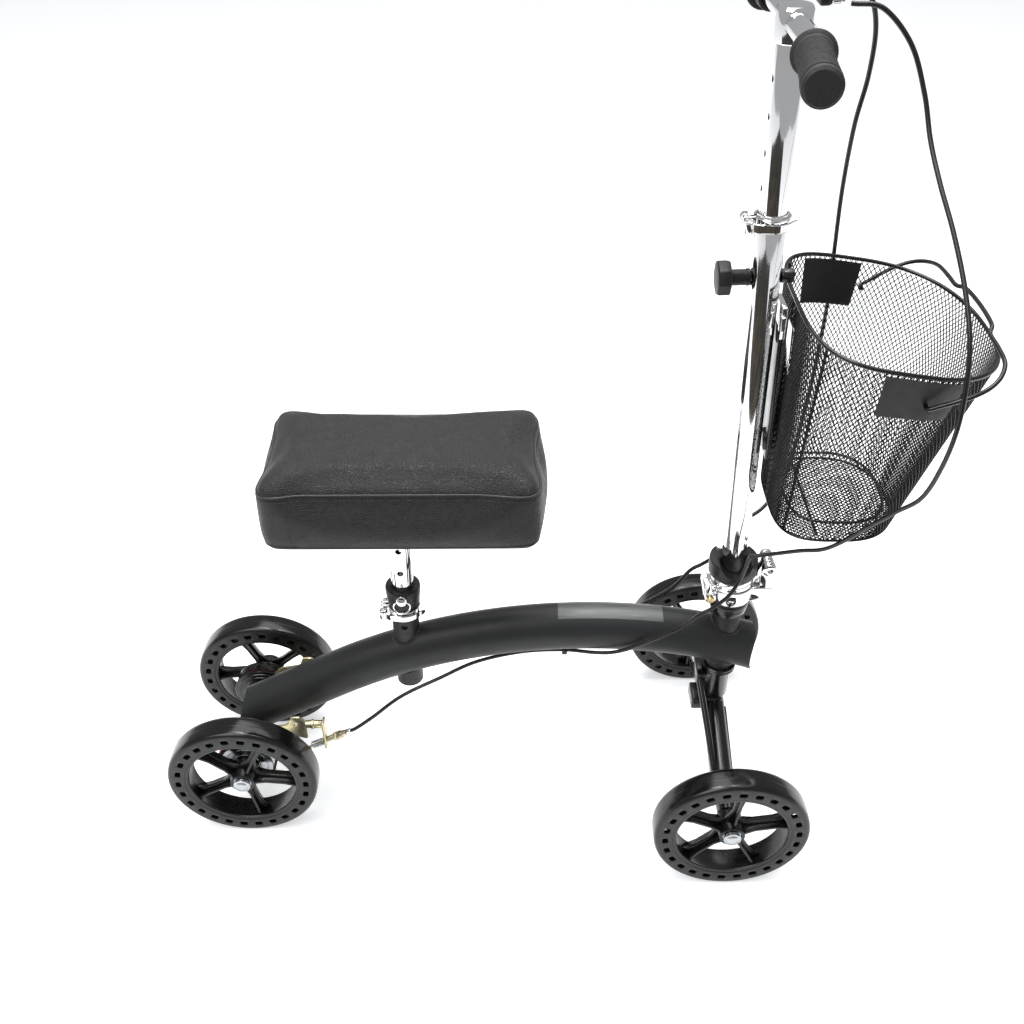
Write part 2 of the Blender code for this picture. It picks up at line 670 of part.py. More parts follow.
# ------------------------------------------------------------------ front fork
def build_fork(fork):
    steerer = turned(
        [(0, 0.158), (0.0150, 0.158), (0.0160, 0.160), (0.0160, 0.2045), (0.0185, CUP_BOTTOM - GAP),
         (STEERER_R, CUP_BOTTOM - GAP), (STEERER_R, CUP_TOP - GAP), (0, CUP_TOP - GAP)], 20)
    world_part("steerer", turned_onto(steerer, move(HEAD_X, 0, 0)), "gloss_black", fork)

    inner = FRONT_TRACK / 2 - WHEEL_WIDTH / 2
    path = [(HEAD_X, -inner + 0.004, WHEEL_R), (HEAD_X, -0.128, WHEEL_R + 0.002),
            (HEAD_X, -0.112, WHEEL_R + 0.009),
            (HEAD_X, -0.020, 0.1405), (HEAD_X, 0.0, 0.1440)]
    path += [(x, -y, z) for x, y, z in path[-2::-1]]
    beam = world_part("axle_beam", round_bar(path, 0.0135, 16), "gloss_black", fork)
    inverse = fork.matrix_world.inverted()
    gusset = [(-0.006, 0.1570), (0.006, 0.1570), (0.052, 0.137), (0.128, 0.100), (0.112, 0.096),
              (0.0, 0.1300),
              (-0.112, 0.096), (-0.128, 0.100), (-0.052, 0.137)]
    gusset = turned_onto(plate(gusset, 0.004), Matrix.Rotation(math.radians(90), 4, "Z"))
    add(beam, turned_onto(gusset, inverse @ move(HEAD_X - 0.0125, 0, 0)))
    add(beam, turned_onto(block((0.042, 0.034, 0.020), (HEAD_X - 0.012, 0, 0.1475), 0.003), inverse))
    add(beam, turned_onto(block((0.014, 0.034, 0.016), (HEAD_X - 0.0236, 0, 0.1985), 0.002), inverse))
    for sign in (-1, 1):
        brace = [(HEAD_X - 0.0270, sign * 0.010, 0.1980), (HEAD_X - 0.0175, sign * 0.070, 0.1500),
                 (HEAD_X - 0.0090, sign * 0.124, 0.1040)]
        add(beam, turned_onto(round_bar(brace, 0.0042, 10), inverse))
    for sign in (-1, 1):
        bore = turned(rod_profile(AXLE_R + GAP, -0.030, 0.030), 16)
        cut(beam, turned_onto(bore, inverse @ move(HEAD_X, sign * 0.150, WHEEL_R) @ ALONG_Y))
    head_y = FRONT_TRACK / 2 + WHEEL_WIDTH / 2
    for side, sign in (("right", -1), ("left", 1)):
        bolt = [(0, 0.126), (AXLE_R, 0.126), (AXLE_R, head_y + 0.0008), (0.0105, head_y + 0.0008),
                (0.0105, head_y + 0.0035), (0.008, head_y + 0.0050), (0, head_y + 0.0055)]
        bolt = turned([(r, sign * z) for r, z in bolt], 20)
        made = turned_onto(bolt, move(HEAD_X, 0, WHEEL_R) @ ALONG_Y)
        world_part(f"axle_bolt_{side}", made, "chrome", fork)

    build_yoke(fork, inverse)


def build_yoke(fork, inverse):
    """The chrome bowl on the steerer: ears and pin for the fold in front, a lug for the lever behind."""
    bowl = turned(
        [(0, CUP_TOP + GAP), (0.0235, CUP_TOP + GAP), (0.0262, 0.3385), (0.0280, YOKE_TOP - 0.0015),
         (0.0272, YOKE_TOP), (0, YOKE_TOP)], 24)
    made = world_part("fold_yoke", turned_onto(bowl, move(HEAD_X, 0, 0)), "chrome", fork)
    pin_x, pin_z = FOLD_PIN
    tongue = [(HEAD_X + 0.010, 0.3390), (pin_x + 0.002, 0.3400), (pin_x + 0.0095, 0.3480),
              (pin_x + 0.0095, 0.3620),
              (HEAD_X + 0.010, 0.3620)]
    add(made, turned_onto(plate(tongue, 0.030), inverse))
    for sign in (-1, 1):
        ear = [(pin_x - 0.0090, 0.3530), (pin_x + 0.0090, 0.3530)]
        for k in range(9):
            a = math.pi * k / 8
            ear.append((pin_x + 0.0090 * math.cos(a), pin_z + 0.0090 * math.sin(a)))
        add(made, turned_onto(plate(ear, 0.0055), inverse @ move(0, sign * 0.0118, 0)))
    pin = turned(rod_profile(0.0036, -0.0165, 0.0165, 0.0005), 16)
    add(made, turned_onto(pin, inverse @ move(pin_x, 0, pin_z) @ ALONG_Y))
    lug_x, lug_z = FOLD_LEVER_PIVOT
    add(made, turned_onto(block((0.024, 0.034, 0.014), (lug_x + 0.005, 0, lug_z), 0.003), inverse))
    screw = turned([(0, -0.0150), (0.0030, -0.0150), (0.0030, -0.0265), (0.0048, -0.0265), (0.0048, -0.0292),
                    (0.0040, -0.0300), (0, -0.0300)], 14)
    add(made, turned_onto(screw, inverse @ move(lug_x, 0, lug_z) @ ALONG_Y))


# ------------------------------------------------------------------ stem
def build_fold_lever(latch):
    """Upright chrome lever behind the yoke, drawn at its closed place in world coordinates."""
    lug_x, lug_z = FOLD_LEVER_PIVOT
    low, high = -0.0262, -0.0174
    place = move(lug_x, 0, lug_z)
    eye = turned(tube_profile(0.0070, 0.0033, low, high, 0.0006), 18)
    made = world_part("fold_lever", turned_onto(eye, place @ ALONG_Y), "chrome", latch)
    bpy.context.view_layer.update()
    inverse = latch.matrix_world.inverted()
    tilt = Matrix.Rotation(math.radians(-14), 4, "Y")
    bar = block((0.0060, high - low, 0.0340), (0, (low + high) / 2, 0.0220), 0.0012)
    add(made, turned_onto(bar, inverse @ place @ tilt))


def build_stem(stem, knob, clamp_lever):
    """Everything here is in the stem's own frame: its foot at the origin and its axis up Z."""
    level = Matrix.Rotation(STEM_LEAN, 4, "Y")
    pin_x, pin_z = FOLD_PIN[0] - STEM_FOOT[0], FOLD_PIN[1] - STEM_FOOT[1]
    knuckle = [(0, 0.0192), (0.0262, 0.0192), (0.0275, 0.0205), (0.0275, 0.0320), (0.0262, KNUCKLE_TOP),
               (0, KNUCKLE_TOP)]
    made = part("stem_knuckle", turned(knuckle, 24), "chrome", stem)
    lug = [(0.010, 0.0205), (pin_x - 0.001, 0.0205), (pin_x + 0.007, 0.0300)]
    for k in range(9):
        a = math.radians(-30 + 210 * k / 8)
        lug.append((pin_x + 0.0085 * math.cos(a), pin_z + 0.0085 * math.sin(a)))
    lug += [(0.0290, 0.0400), (0.0290, 0.0320), (0.010, 0.0320)]
    add(made, turned_onto(plate(lug, 0.0174), level))
    cut(made, turned_onto(turned(rod_profile(0.0036 + GAP, -0.03, 0.03), 16),
                          level @ move(pin_x, 0, pin_z) @ ALONG_Y))
    foot = block((0.140, 0.070, 0.020), (0.0, 0, YOKE_TOP - STEM_FOOT[1] + 0.0008 - 0.010))
    cut(made, turned_onto(foot, level))

    bottom, top = KNUCKLE_TOP + GAP, 0.0572
    socket = [(STEM_R + GAP, bottom), (0.0290, bottom), (0.0302, bottom + 0.0015), (0.0306, 0.0450),
              (0.0300, 0.0560),
              (0.0290, top), (STEM_R + GAP, top)]
    made = part("stem_socket", turned(socket, 24), "plastic", stem)
    saddle = turned(rod_profile(0.0205, -0.05, 0.05), 24)
    cut(made, turned_onto(saddle, move(0, 0, 0.0640) @ ALONG_Y))
    cut(made, turned_onto(block((0.030, 0.080, 0.140), (0.0425, 0, 0.040)), level))

    tube = part("stem_tube", turned(tube_profile(STEM_R, STEM_BORE_R, bottom, STEM_TOP, 0.0), 20), "chrome",
                stem)
    cut(tube, turned_onto(turned(rod_profile(0.0050, -0.03, 0.0), 14), move(0, 0, KNOB_AT) @ ALONG_X))

    build_clamp("stem_clamp", stem, clamp_lever, STEM_TOP - 0.0095, STEM_R)

    head = turned(
        [(0, 0.0155), (0.0042, 0.0155), (0.0042, 0.0165), (0.0088, 0.0166), (0.0088, 0.0370),
         (0.0175, 0.0375),
         (0.0190, 0.0390), (0.0190, 0.0500), (0.0170, 0.0520), (0, 0.0520)], 16)
    made = part("thumb_knob", turned_onto(head, move(0, 0, KNOB_AT) @ Matrix.Rotation(math.radians(-90), 4, "Y")),
                "plastic", stem)
    rebase(made, knob)

    bracket_low, bracket_high = 0.215, 0.405
    rail = part(
        "basket_bracket", block((0.0035, 0.030, bracket_high - bracket_low), (0.0215, 0, 0.31), 0.0008),
        "frame_black", stem)
    for z in (0.235, 0.375):
        add(rail, block((0.006, 0.022, 0.018), (0.0200, 0, z)))


# ------------------------------------------------------------------ handlebar
def bar_path():
    """The handlebar's middle line, from the right end to the left, about its own middle."""
    straight, end = BAR_BEND_Y, BAR_HALF_WIDTH
    half = [Vector((0, 0, 0)), Vector((0, straight - 0.018, 0))]
    run = Vector((-BAR_SWEEP, 1, BAR_RISE)).normalized()
    corner = Vector((0, straight, 0))
    for k in range(1, 5):
        t = k / 4
        a = Vector((0, straight - 0.018, 0)).lerp(corner, t)
        b = corner.lerp(corner + run * 0.018, t)
        half.append(a.lerp(b, t))
    reach = (end - half[-1].y) / run.y
    half.append(half[-1] + run * reach)
    return [Vector((p.x, -p.y, p.z)) for p in half[:0:-1]] + half


def build_handlebar(post, lever):
    """In the stem's own frame, as the post slides along it."""
    tube = part("upper_post", turned(tube_profile(POST_R, POST_R - 0.0015, POST_BOTTOM, POST_TOP), 20),
                "chrome", post)
    for k in range(4):
        hole = turned(rod_profile(0.0035, -0.03, 0.0), 12)
        cut(tube, turned_onto(hole, move(0, 0, 0.535 + 0.035 * k) @ ALONG_X))
    bar = part("handlebar", turned_onto(round_bar(bar_path(), BAR_R, 16), move(0, 0, BAR_HEIGHT)), "chrome",
               post)
    sleeve = [(0, POST_TOP + GAP), (0.0165, POST_TOP + GAP), (0.0172, POST_TOP + 0.002),
              (0.0172, BAR_HEIGHT + 0.0105),
              (0.0150, BAR_HEIGHT + 0.0140), (0, BAR_HEIGHT + 0.0150)]
    add(bar, turned(sleeve, 20))

    path = bar_path()
    for side, sign in (("right", -1), ("left", 1)):
        tip = path[-1] if sign > 0 else path[0]
        run = Vector((-BAR_SWEEP, sign, BAR_RISE)).normalized()
        turn = run.to_track_quat("Z", "Y").to_matrix().to_4x4()
        length = 0.108
        profile = [(BAR_R + GAP, -length), (GRIP_R + 0.003, -length), (GRIP_R + 0.003, -length + 0.004),
                   (GRIP_R, -length + 0.006), (GRIP_R - 0.001, -0.03), (GRIP_R, -0.004),
                   (GRIP_R - 0.002, 0.0015),
                   (0, 0.0015), (0, GAP), (BAR_R + GAP, GAP)]
        mesh = turned(profile, 20)
        at = Matrix.Translation(tip + Vector((0, 0, BAR_HEIGHT))) @ turn
        part(f"grip_{side}", turned_onto(mesh, at), "rubber", post)

    run = Vector((-BAR_SWEEP, 1, BAR_RISE)).normalized()
    on_bar = path[-1] - run * 0.123
    turn = run.to_track_quat("Z", "Y").to_matrix().to_4x4()
    at = Matrix.Translation(on_bar + Vector((0, 0, BAR_HEIGHT))) @ turn
    perch = part(
        "brake_perch", turned_onto(turned(tube_profile(0.0150, BAR_R + GAP, -0.006, 0.006, 0.0008), 20), at),
        "plastic", post)
    px, py, pz = BRAKE_LEVER_PIVOT
    arm = block((0.030, 0.0105, 0.012), (px - 0.009, py - 0.001, pz + BAR_HEIGHT), 0.002)
    add(perch, arm)
    add(perch, block((0.012, 0.020, 0.020), (px + 0.010, py - 0.012, pz + BAR_HEIGHT), 0.002))

    blade = [Vector((px + 0.001, py + 0.0150, pz)), Vector((px + 0.010, py + 0.030, pz)),
             Vector((px + 0.009, py + 0.060, pz + 0.001)), Vector((px + 0.000, py + 0.095, pz + 0.003)),
             Vector((px + 0.004, py + 0.118, pz + 0.004))]
    blade = smooth_path([p + Vector((0, 0, BAR_HEIGHT)) for p in blade], 12)
    made = part("brake_lever", round_bar(blade, 0.0042, 10), "gloss_black", post)
    hub = turned(rod_profile(0.0065, pz + BAR_HEIGHT - 0.005, pz + BAR_HEIGHT + 0.005, 0.0005), 16)
    add(made, turned_onto(hub, move(px, py + 0.0125, 0)))
    rebase(made, lever)


# ------------------------------------------------------------------ basket
def oval(front, back, half_width, count=32, power_front=2.4, power_back=3.6):
    """Points round a basket outline: rounder at the front, squarer at the back."""
    out = []
    for k in range(count):
        a = 2 * math.pi * (k + 0.5) / count
        c, s = math.cos(a), math.sin(a)
        power = power_front if c > 0 else power_back
        reach = front if c > 0 else back
        x = reach * math.copysign(abs(c) ** (2 / power), c)
        y = half_width * math.copysign(abs(s) ** (2 / power), s)
        out.append((x, y))
    return out


def basket_ring(share, inset=0.0, lift=0.0):
    """One level of the basket, from its base (0) to its rim (1)."""
    front = BASE_FRONT + (RIM_FRONT - BASE_FRONT) * share - inset
    back = BASE_BACK + (RIM_BACK - BASE_BACK) * share - inset
    half = BASE_HALF_WIDTH + (RIM_HALF_WIDTH - BASE_HALF_WIDTH) * share - inset
    cx = BASE_CENTRE[0] + (RIM_CENTRE[0] - BASE_CENTRE[0]) * share
    cz = BASE_CENTRE[1] + (RIM_CENTRE[1] - BASE_CENTRE[1]) * share
    slope = RIM_SLOPE * share
    return [(cx + x, y, cz + slope * x + lift) for x, y in oval(front, back, half)]


def basket_mesh():
    levels = [0.0, 0.5, 1.0]
    outer = [basket_ring(s) for s in levels]
    inner = [basket_ring(s, BASKET_WALL, BASKET_WALL if s == 0.0 else 0.0) for s in levels]
    rings = outer + inner[::-1]
    return swept(rings, lambda i: rings[i], name="basket")


def build_basket(basket, bail):
    world_part("basket", basket_mesh(), "frame_black", basket)
    px, pz = BAIL_PIVOT
    half_shape = [(0.0, 0.1345), (0.010, 0.1365), (0.028, 0.1400), (0.044, 0.1415), (0.060, 0.1385),
                  (0.074, 0.1280),
                  (0.084, 0.1090), (0.087, 0.0800), (0.088, 0.0550), (0.0945, 0.0400), (0.0965, 0.0)]
    shape = [(u, -y) for u, y in half_shape] + half_shape[-2::-1]
    c, t = math.cos(BAIL_TILT), math.sin(BAIL_TILT)
    path = smooth_path([(px + c * u, y, pz + t * u) for u, y in shape], 40)
    world_part("basket_bail", round_bar(path, BAIL_WIRE_R, 8), "frame_black", bail)


# ------------------------------------------------------------------ brake cables
def cable(name, points, count, parent):
    """A bare tube along a smooth curve through the points, given in world coordinates."""
    curve = bpy.data.curves.new(name, "CURVE")
    curve.dimensions = "3D"
    curve.bevel_depth = CABLE_R
    curve.bevel_resolution = 2
    curve.use_fill_caps = True
    spline = curve.splines.new("POLY")
    path = smooth_path(points, count)
    spline.points.add(len(path) - 1)
    for place, p in zip(spline.points, path):
        place.co = (*p, 1.0)
    curve.materials.append(material("cable"))
    made = bpy.data.objects.new(name, curve)
    bpy.context.scene.collection.objects.link(made)
    bpy.context.view_layer.update()
    made.parent = parent
    made.matrix_basis = parent.matrix_world.inverted()
    return made


# right cable: round the near side of the basket; left cable: round the far side
UPPER_RIGHT = [
    (0.283, 0.066, 1.033), (0.312, 0.060, 1.030), (0.342, 0.050, 1.000), (0.360, 0.036, 0.958),
    (0.368, 0.014, 0.920),
    (0.374, -0.020, 0.890), (0.382, -0.060, 0.858), (0.388, -0.102, 0.822), (0.391, -0.136, 0.785),
    (0.392, -0.154, 0.745), (0.393, -0.159, 0.700), (0.391, -0.155, 0.652), (0.385, -0.143, 0.603),
    (0.370, -0.125, 0.570), (0.352, -0.111, 0.540), (0.332, -0.093, 0.502), (0.316, -0.080, 0.480),
    (0.297, -0.062, 0.463), (0.272, -0.044, 0.443), (0.2475, -0.0345, 0.4310),
]
UPPER_LEFT = [
    (0.283, 0.074, 1.041), (0.303, 0.077, 1.036), (0.316, 0.084, 1.005), (0.320, 0.092, 0.958),
    (0.318, 0.101, 0.905),
    (0.325, 0.124, 0.828), (0.334, 0.1405, 0.750), (0.339, 0.1445, 0.688), (0.338, 0.140, 0.632),
    (0.331, 0.122, 0.580), (0.322, 0.103, 0.526), (0.314, 0.090, 0.496), (0.300, 0.066, 0.466),
    (0.274, 0.044, 0.443), (0.2475, 0.0345, 0.4310),
]
MIDDLE = [(0.2455, 0.0345, 0.4260), (0.2395, 0.0365, 0.3960), (0.2270, 0.0405, 0.3710),
          (0.2105, 0.0425, 0.3545)]
LOWER = [
    (0.2070, 0.0428, 0.3515), (0.1930, 0.0428, 0.3410), (0.1700, 0.0385, 0.3130), (0.1240, 0.0350, 0.2820),
    (0.0960, 0.0315, 0.2660), (0.0700, 0.0235, 0.2560), (0.0250, 0.0080, 0.2460), (-0.0310, 0.0080, 0.2420),
    (-0.0900, 0.0150, 0.2310),
    (-0.1370, 0.0320, 0.2190), (-0.1900, 0.0440, 0.1960), (-0.2300, 0.0520, 0.1640),
]


def mirrored(points, sign):
    return [(x, sign * y, z) for x, y, z in points]


def build_cables(root, fork, stem, post):
    for side, sign, route in (("right", -1, UPPER_RIGHT), ("left", 1, UPPER_LEFT)):
        cable(f"cable_upper_{side}", route, 34, post)
        cable(f"cable_middle_{side}", mirrored(MIDDLE, sign), 8, stem)
        start, along = cable_line()
        exit_point = start + along * (0.060 + GAP)
        lead = exit_point + along * 0.015
        tail = [(lead.x, BRAKE_Y, lead.z), (exit_point.x, BRAKE_Y, exit_point.z)]
        cable(f"cable_lower_{side}", mirrored(LOWER + tail, sign), 30, root)


# ------------------------------------------------------------------ assembly
def main():
    for old in list(bpy.data.objects):
        bpy.data.objects.remove(old, do_unlink=True)

    root = joint("frame", (0, 0, 0))
    build_frame(root)

    hubs = {
        "rear_right": (REAR_X, -REAR_TRACK / 2, root),
        "rear_left": (REAR_X, REAR_TRACK / 2, root),
    }
    fork = joint("fork", (HEAD_X, 0, 0), root)
    hubs["front_right"] = (HEAD_X, -FRONT_TRACK / 2, fork)
    hubs["front_left"] = (HEAD_X, FRONT_TRACK / 2, fork)
    tyre, core = tyre_mesh(), wheel_core_mesh()
    wheels = {}
    for name, (x, y, parent) in hubs.items():
        wheels[name] = joint(f"{name}_wheel", (x, y, WHEEL_R), parent)
        build_wheel(name, wheels[name], tyre, core)

    for side, sign in (("right", -1), ("left", 1)):
        arm = joint(f"brake_{side}_pivot", (BRAKE_PIVOT[0], sign * BRAKE_Y, BRAKE_PIVOT[1]), root)
        build_brake(side, sign, root, wheels[f"rear_{side}"], arm)

    seat_lever = joint("seat_lever", clamp_lever_place(SEAT_CLAMP_Z, SEAT_TUBE_R, (SEAT_X, 0)), root)
    seat_pin = joint("seat_pin_slide", (SEAT_X, 0, SEAT_PIN_Z), root)
    build_seat_clamp(root, seat_lever, seat_pin)
    build_seat(joint("seat", (SEAT_X, 0, 0), root))

    build_fork(fork)
    build_fold_lever(joint("latch_lever", (FOLD_LEVER_PIVOT[0], 0, FOLD_LEVER_PIVOT[1]), fork))

    stem = joint("stem", (STEM_FOOT[0], 0, STEM_FOOT[1]), fork, STEM_LEAN)

    def on_stem(x, y, z):
        return stem.matrix_world @ Vector((x, y, z))

    knob = joint("knob_turn", on_stem(0, 0, KNOB_AT), stem, STEM_LEAN)
    clamp_lever = joint(
        "stem_lever", on_stem(*clamp_lever_place(STEM_TOP - 0.0095, STEM_R)), stem, STEM_LEAN
    )
    build_stem(stem, knob, clamp_lever)

    post = joint("post_slide", on_stem(0, 0, 0), stem, STEM_LEAN)
    lever_x, lever_y, lever_z = BRAKE_LEVER_PIVOT
    brake_lever = joint("lever_pivot", on_stem(lever_x, lever_y + 0.0125, lever_z + BAR_HEIGHT), post,
                        STEM_LEAN)
    build_handlebar(post, brake_lever)

    basket = joint("basket_lift", (RIM_CENTRE[0], 0, RIM_CENTRE[1]), stem)
    bail = joint("bail_pivot", (BAIL_PIVOT[0], 0, BAIL_PIVOT[1]), basket)
    build_basket(basket, bail)
    build_cables(root, fork, stem, post)
    root.location.x = CENTRE_SHIFT


main()
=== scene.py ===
"""Looks of the knee scooter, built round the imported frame.

Metres, +Z up, +X forwards; the rider's right is -Y.
"""

import json
import math

import bmesh
import bpy
from mathutils import Matrix, Vector, noise
from mathutils.bvhtree import BVHTree


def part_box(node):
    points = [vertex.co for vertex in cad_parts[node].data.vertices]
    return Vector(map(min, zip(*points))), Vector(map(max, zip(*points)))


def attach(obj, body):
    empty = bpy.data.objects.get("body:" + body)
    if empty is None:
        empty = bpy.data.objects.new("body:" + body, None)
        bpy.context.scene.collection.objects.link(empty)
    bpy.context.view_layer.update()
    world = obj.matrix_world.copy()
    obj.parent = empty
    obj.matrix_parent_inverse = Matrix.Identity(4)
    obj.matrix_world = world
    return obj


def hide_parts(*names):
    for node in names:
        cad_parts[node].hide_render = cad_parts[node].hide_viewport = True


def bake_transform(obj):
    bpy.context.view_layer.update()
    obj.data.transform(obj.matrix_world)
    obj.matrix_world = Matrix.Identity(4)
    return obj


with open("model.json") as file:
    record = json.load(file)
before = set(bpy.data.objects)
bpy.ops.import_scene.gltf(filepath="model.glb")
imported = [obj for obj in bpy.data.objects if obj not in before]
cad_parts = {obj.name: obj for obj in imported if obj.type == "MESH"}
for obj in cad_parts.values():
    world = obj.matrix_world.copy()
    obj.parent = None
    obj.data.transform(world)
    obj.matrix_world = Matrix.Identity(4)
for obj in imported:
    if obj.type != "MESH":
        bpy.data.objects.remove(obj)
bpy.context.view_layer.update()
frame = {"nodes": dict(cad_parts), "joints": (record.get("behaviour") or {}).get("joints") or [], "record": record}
JOINTS = {j["name"]: j for j in frame["joints"]}

# every place below is in the drawing's own X; this moves the drawing over the frame's origin
CENTRE_SHIFT = Vector((0.018713, 0, 0))


def joint_at(name):
    return Vector(JOINTS[name]["pos_m"]) - CENTRE_SHIFT


def box(node):
    low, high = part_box(node)
    return low - CENTRE_SHIFT, high - CENTRE_SHIFT


def joint_axis(name):
    return Vector(JOINTS[name]["axis"])


# ------------------------------------------------------------------ places, read from the frame
STEER = joint_at("steering")
REAR = joint_at("rear_right_spin")
FRONT = joint_at("front_right_spin")
FOLD_PIN = joint_at("stem_fold")
LATCH = joint_at("fold_lever_open")
SEAT_X = joint_at("seat_clamp_lever_open").x + 0.0262
STEM_UP = joint_axis("handlebar_height")
STEM_FOOT = Vector((STEER.x, 0, 0.345))
BAIL_PIVOT = joint_at("bail_swing")
WHEEL_R = REAR.z
WHEEL_HALF = 0.017
GAP = 0.0003


def lean_frame():
    """The stem's own frame: Z up the stem, X forwards, Y to the left."""
    z = STEM_UP.normalized()
    y = Vector((0, 1, 0))
    x = y.cross(z)
    turn = Matrix((x, y, z)).transposed().to_4x4()
    return Matrix.Translation(STEM_FOOT) @ turn


STEM = lean_frame()
LEVEL = STEM.to_3x3().inverted().to_4x4()
ALONG_Y = Matrix.Rotation(math.radians(-90), 4, "X")
ALONG_X = Matrix.Rotation(math.radians(90), 4, "Y")


# ------------------------------------------------------------------ materials
class Shader:
    """One material's nodes, with short calls for the ones that these looks share."""

    def __init__(self, name):
        self.material = bpy.data.materials.new(name)
        self.material.use_nodes = True
        self.tree = self.material.node_tree
        self.surface = self.tree.nodes["Principled BSDF"]
        self.place = self.add("ShaderNodeTexCoord").outputs["Object"]

    def add(self, kind, inputs=None, **settings):
        node = self.tree.nodes.new(kind)
        for key, value in settings.items():
            setattr(node, key, value)
        for key, value in (inputs or {}).items():
            self.give(node.inputs[key], value)
        return node

    def give(self, socket, value):
        if isinstance(value, bpy.types.NodeSocket):
            self.tree.links.new(value, socket)
        elif isinstance(value, tuple) and len(value) == 3 and socket.type == "RGBA":
            socket.default_value = (*value, 1.0)
        else:
            socket.default_value = value

    def stretched(self, scale):
        return self.add("ShaderNodeMapping", {"Vector": self.place, "Scale": scale}).outputs["Vector"]

    def noise(self, scale, detail=3.0, roughness=0.55, place=None):
        inputs = {"Vector": place or self.place, "Scale": scale, "Detail": detail, "Roughness": roughness}
        return self.add("ShaderNodeTexNoise", inputs).outputs["Fac"]

    def cells(self, scale, feature="DISTANCE_TO_EDGE", place=None, spread=1.0):
        inputs = {"Vector": place or self.place, "Scale": scale, "Randomness": spread}
        return self.add("ShaderNodeTexVoronoi", inputs, feature=feature).outputs["Distance"]

    def range(self, value, low, high, start=0.0, end=1.0):
        inputs = {"Value": value, "From Min": start, "From Max": end, "To Min": low, "To Max": high}
        return self.add("ShaderNodeMapRange", inputs).outputs["Result"]

    def math(self, operation, a, b=0.0):
        return self.add("ShaderNodeMath", {0: a, 1: b}, operation=operation).outputs[0]

    def mix(self, share, a, b):
        node = self.add("ShaderNodeMix", data_type="RGBA")
        self.give(node.inputs[0], share)
        self.give(node.inputs[6], a)
        self.give(node.inputs[7], b)
        return node.outputs[2]

    def bump(self, height, distance, strength=1.0, under=None):
        node = self.add("ShaderNodeBump", {"Height": height, "Distance": distance, "Strength": strength})
        if under:
            self.give(node.inputs["Normal"], under)
        return node.outputs["Normal"]

    def mottled(self, scale, a, b, spread=0.35, detail=4):
        """Two near colours in soft patches. A smaller spread gives sharper patches."""
        return self.mix(self.range(self.noise(scale, detail), 0, 1, spread, 1 - spread), a, b)

    def patchy(self, scale, low, high, detail=4, roughness=0.55):
        """A value that drifts between low and high."""
        return self.range(self.noise(scale, detail, roughness), low, high, 0.3, 0.7)

    def worn(self, colour, share, bare):
        """The colour rubbed towards a grey on outside edges, broken up so that the wear is uneven."""
        point = self.add("ShaderNodeNewGeometry").outputs["Pointiness"]
        edge = self.range(point, 0.0, 1.0, 0.54, 0.64)
        uneven = self.math("MULTIPLY", edge, self.range(self.noise(180, 5), 0.0, 1.0, 0.42, 0.62))
        return self.mix(self.math("MULTIPLY", uneven, share), colour, (bare, bare, bare))

    def finish(self, **sockets):
        for key, value in sockets.items():
            self.give(self.surface.inputs[key.replace("_", " ")], value)
        return self.material


def powder_black():
    s = Shader("powder_black")
    grain = s.noise(1400, 2)
    cloud = s.noise(9, 4)
    colour = s.mix(s.range(cloud, 0, 1, 0.3, 0.7), (0.0120, 0.0126, 0.0133), (0.0175, 0.0182, 0.0190))
    colour = s.worn(colour, 0.35, 0.11)
    smudge = s.noise(26, 5, 0.7)
    return s.finish(
        Base_Color=colour,
        Roughness=s.range(smudge, 0.40, 0.56, 0.3, 0.7),
        Specular_IOR_Level=0.36,
        Normal=s.bump(grain, 0.00006, 0.6, s.bump(s.noise(240, 2), 0.0001, 0.25)),
    )


def gloss_enamel():
    s = Shader("gloss_enamel")
    colour = s.mottled(30, (0.0030, 0.0031, 0.0034), (0.0055, 0.0056, 0.0060))
    colour = s.worn(colour, 0.3, 0.12)
    return s.finish(
        Base_Color=colour,
        Roughness=s.patchy(60, 0.14, 0.30, 5, 0.7),
        Specular_IOR_Level=0.4,
        Normal=s.bump(s.noise(320, 2), 0.00004, 0.35),
        Coat_Weight=0.2,
        Coat_Roughness=0.08,
    )


def moulded_nylon():
    s = Shader("moulded_nylon")
    colour = s.mottled(40, (0.0050, 0.0050, 0.0053), (0.0085, 0.0085, 0.0088))
    colour = s.worn(colour, 0.25, 0.07)
    spark = s.cells(900, "F1")
    return s.finish(
        Base_Color=colour,
        Roughness=s.patchy(90, 0.36, 0.52),
        Specular_IOR_Level=0.38,
        Normal=s.bump(spark, 0.00012, 0.35),
    )


def wheel_plastic():
    s = Shader("wheel_plastic")
    colour = s.mottled(50, (0.0030, 0.0031, 0.0034), (0.0055, 0.0055, 0.0058))
    dust = s.range(s.noise(140, 6, 0.8), 0.0, 0.14, 0.55, 0.75)
    colour = s.mix(dust, colour, (0.16, 0.155, 0.145))
    return s.finish(
        Base_Color=colour,
        Roughness=s.patchy(70, 0.20, 0.36, 5, 0.7),
        Specular_IOR_Level=0.42,
        Normal=s.bump(s.noise(420, 3), 0.00006, 0.4),
    )


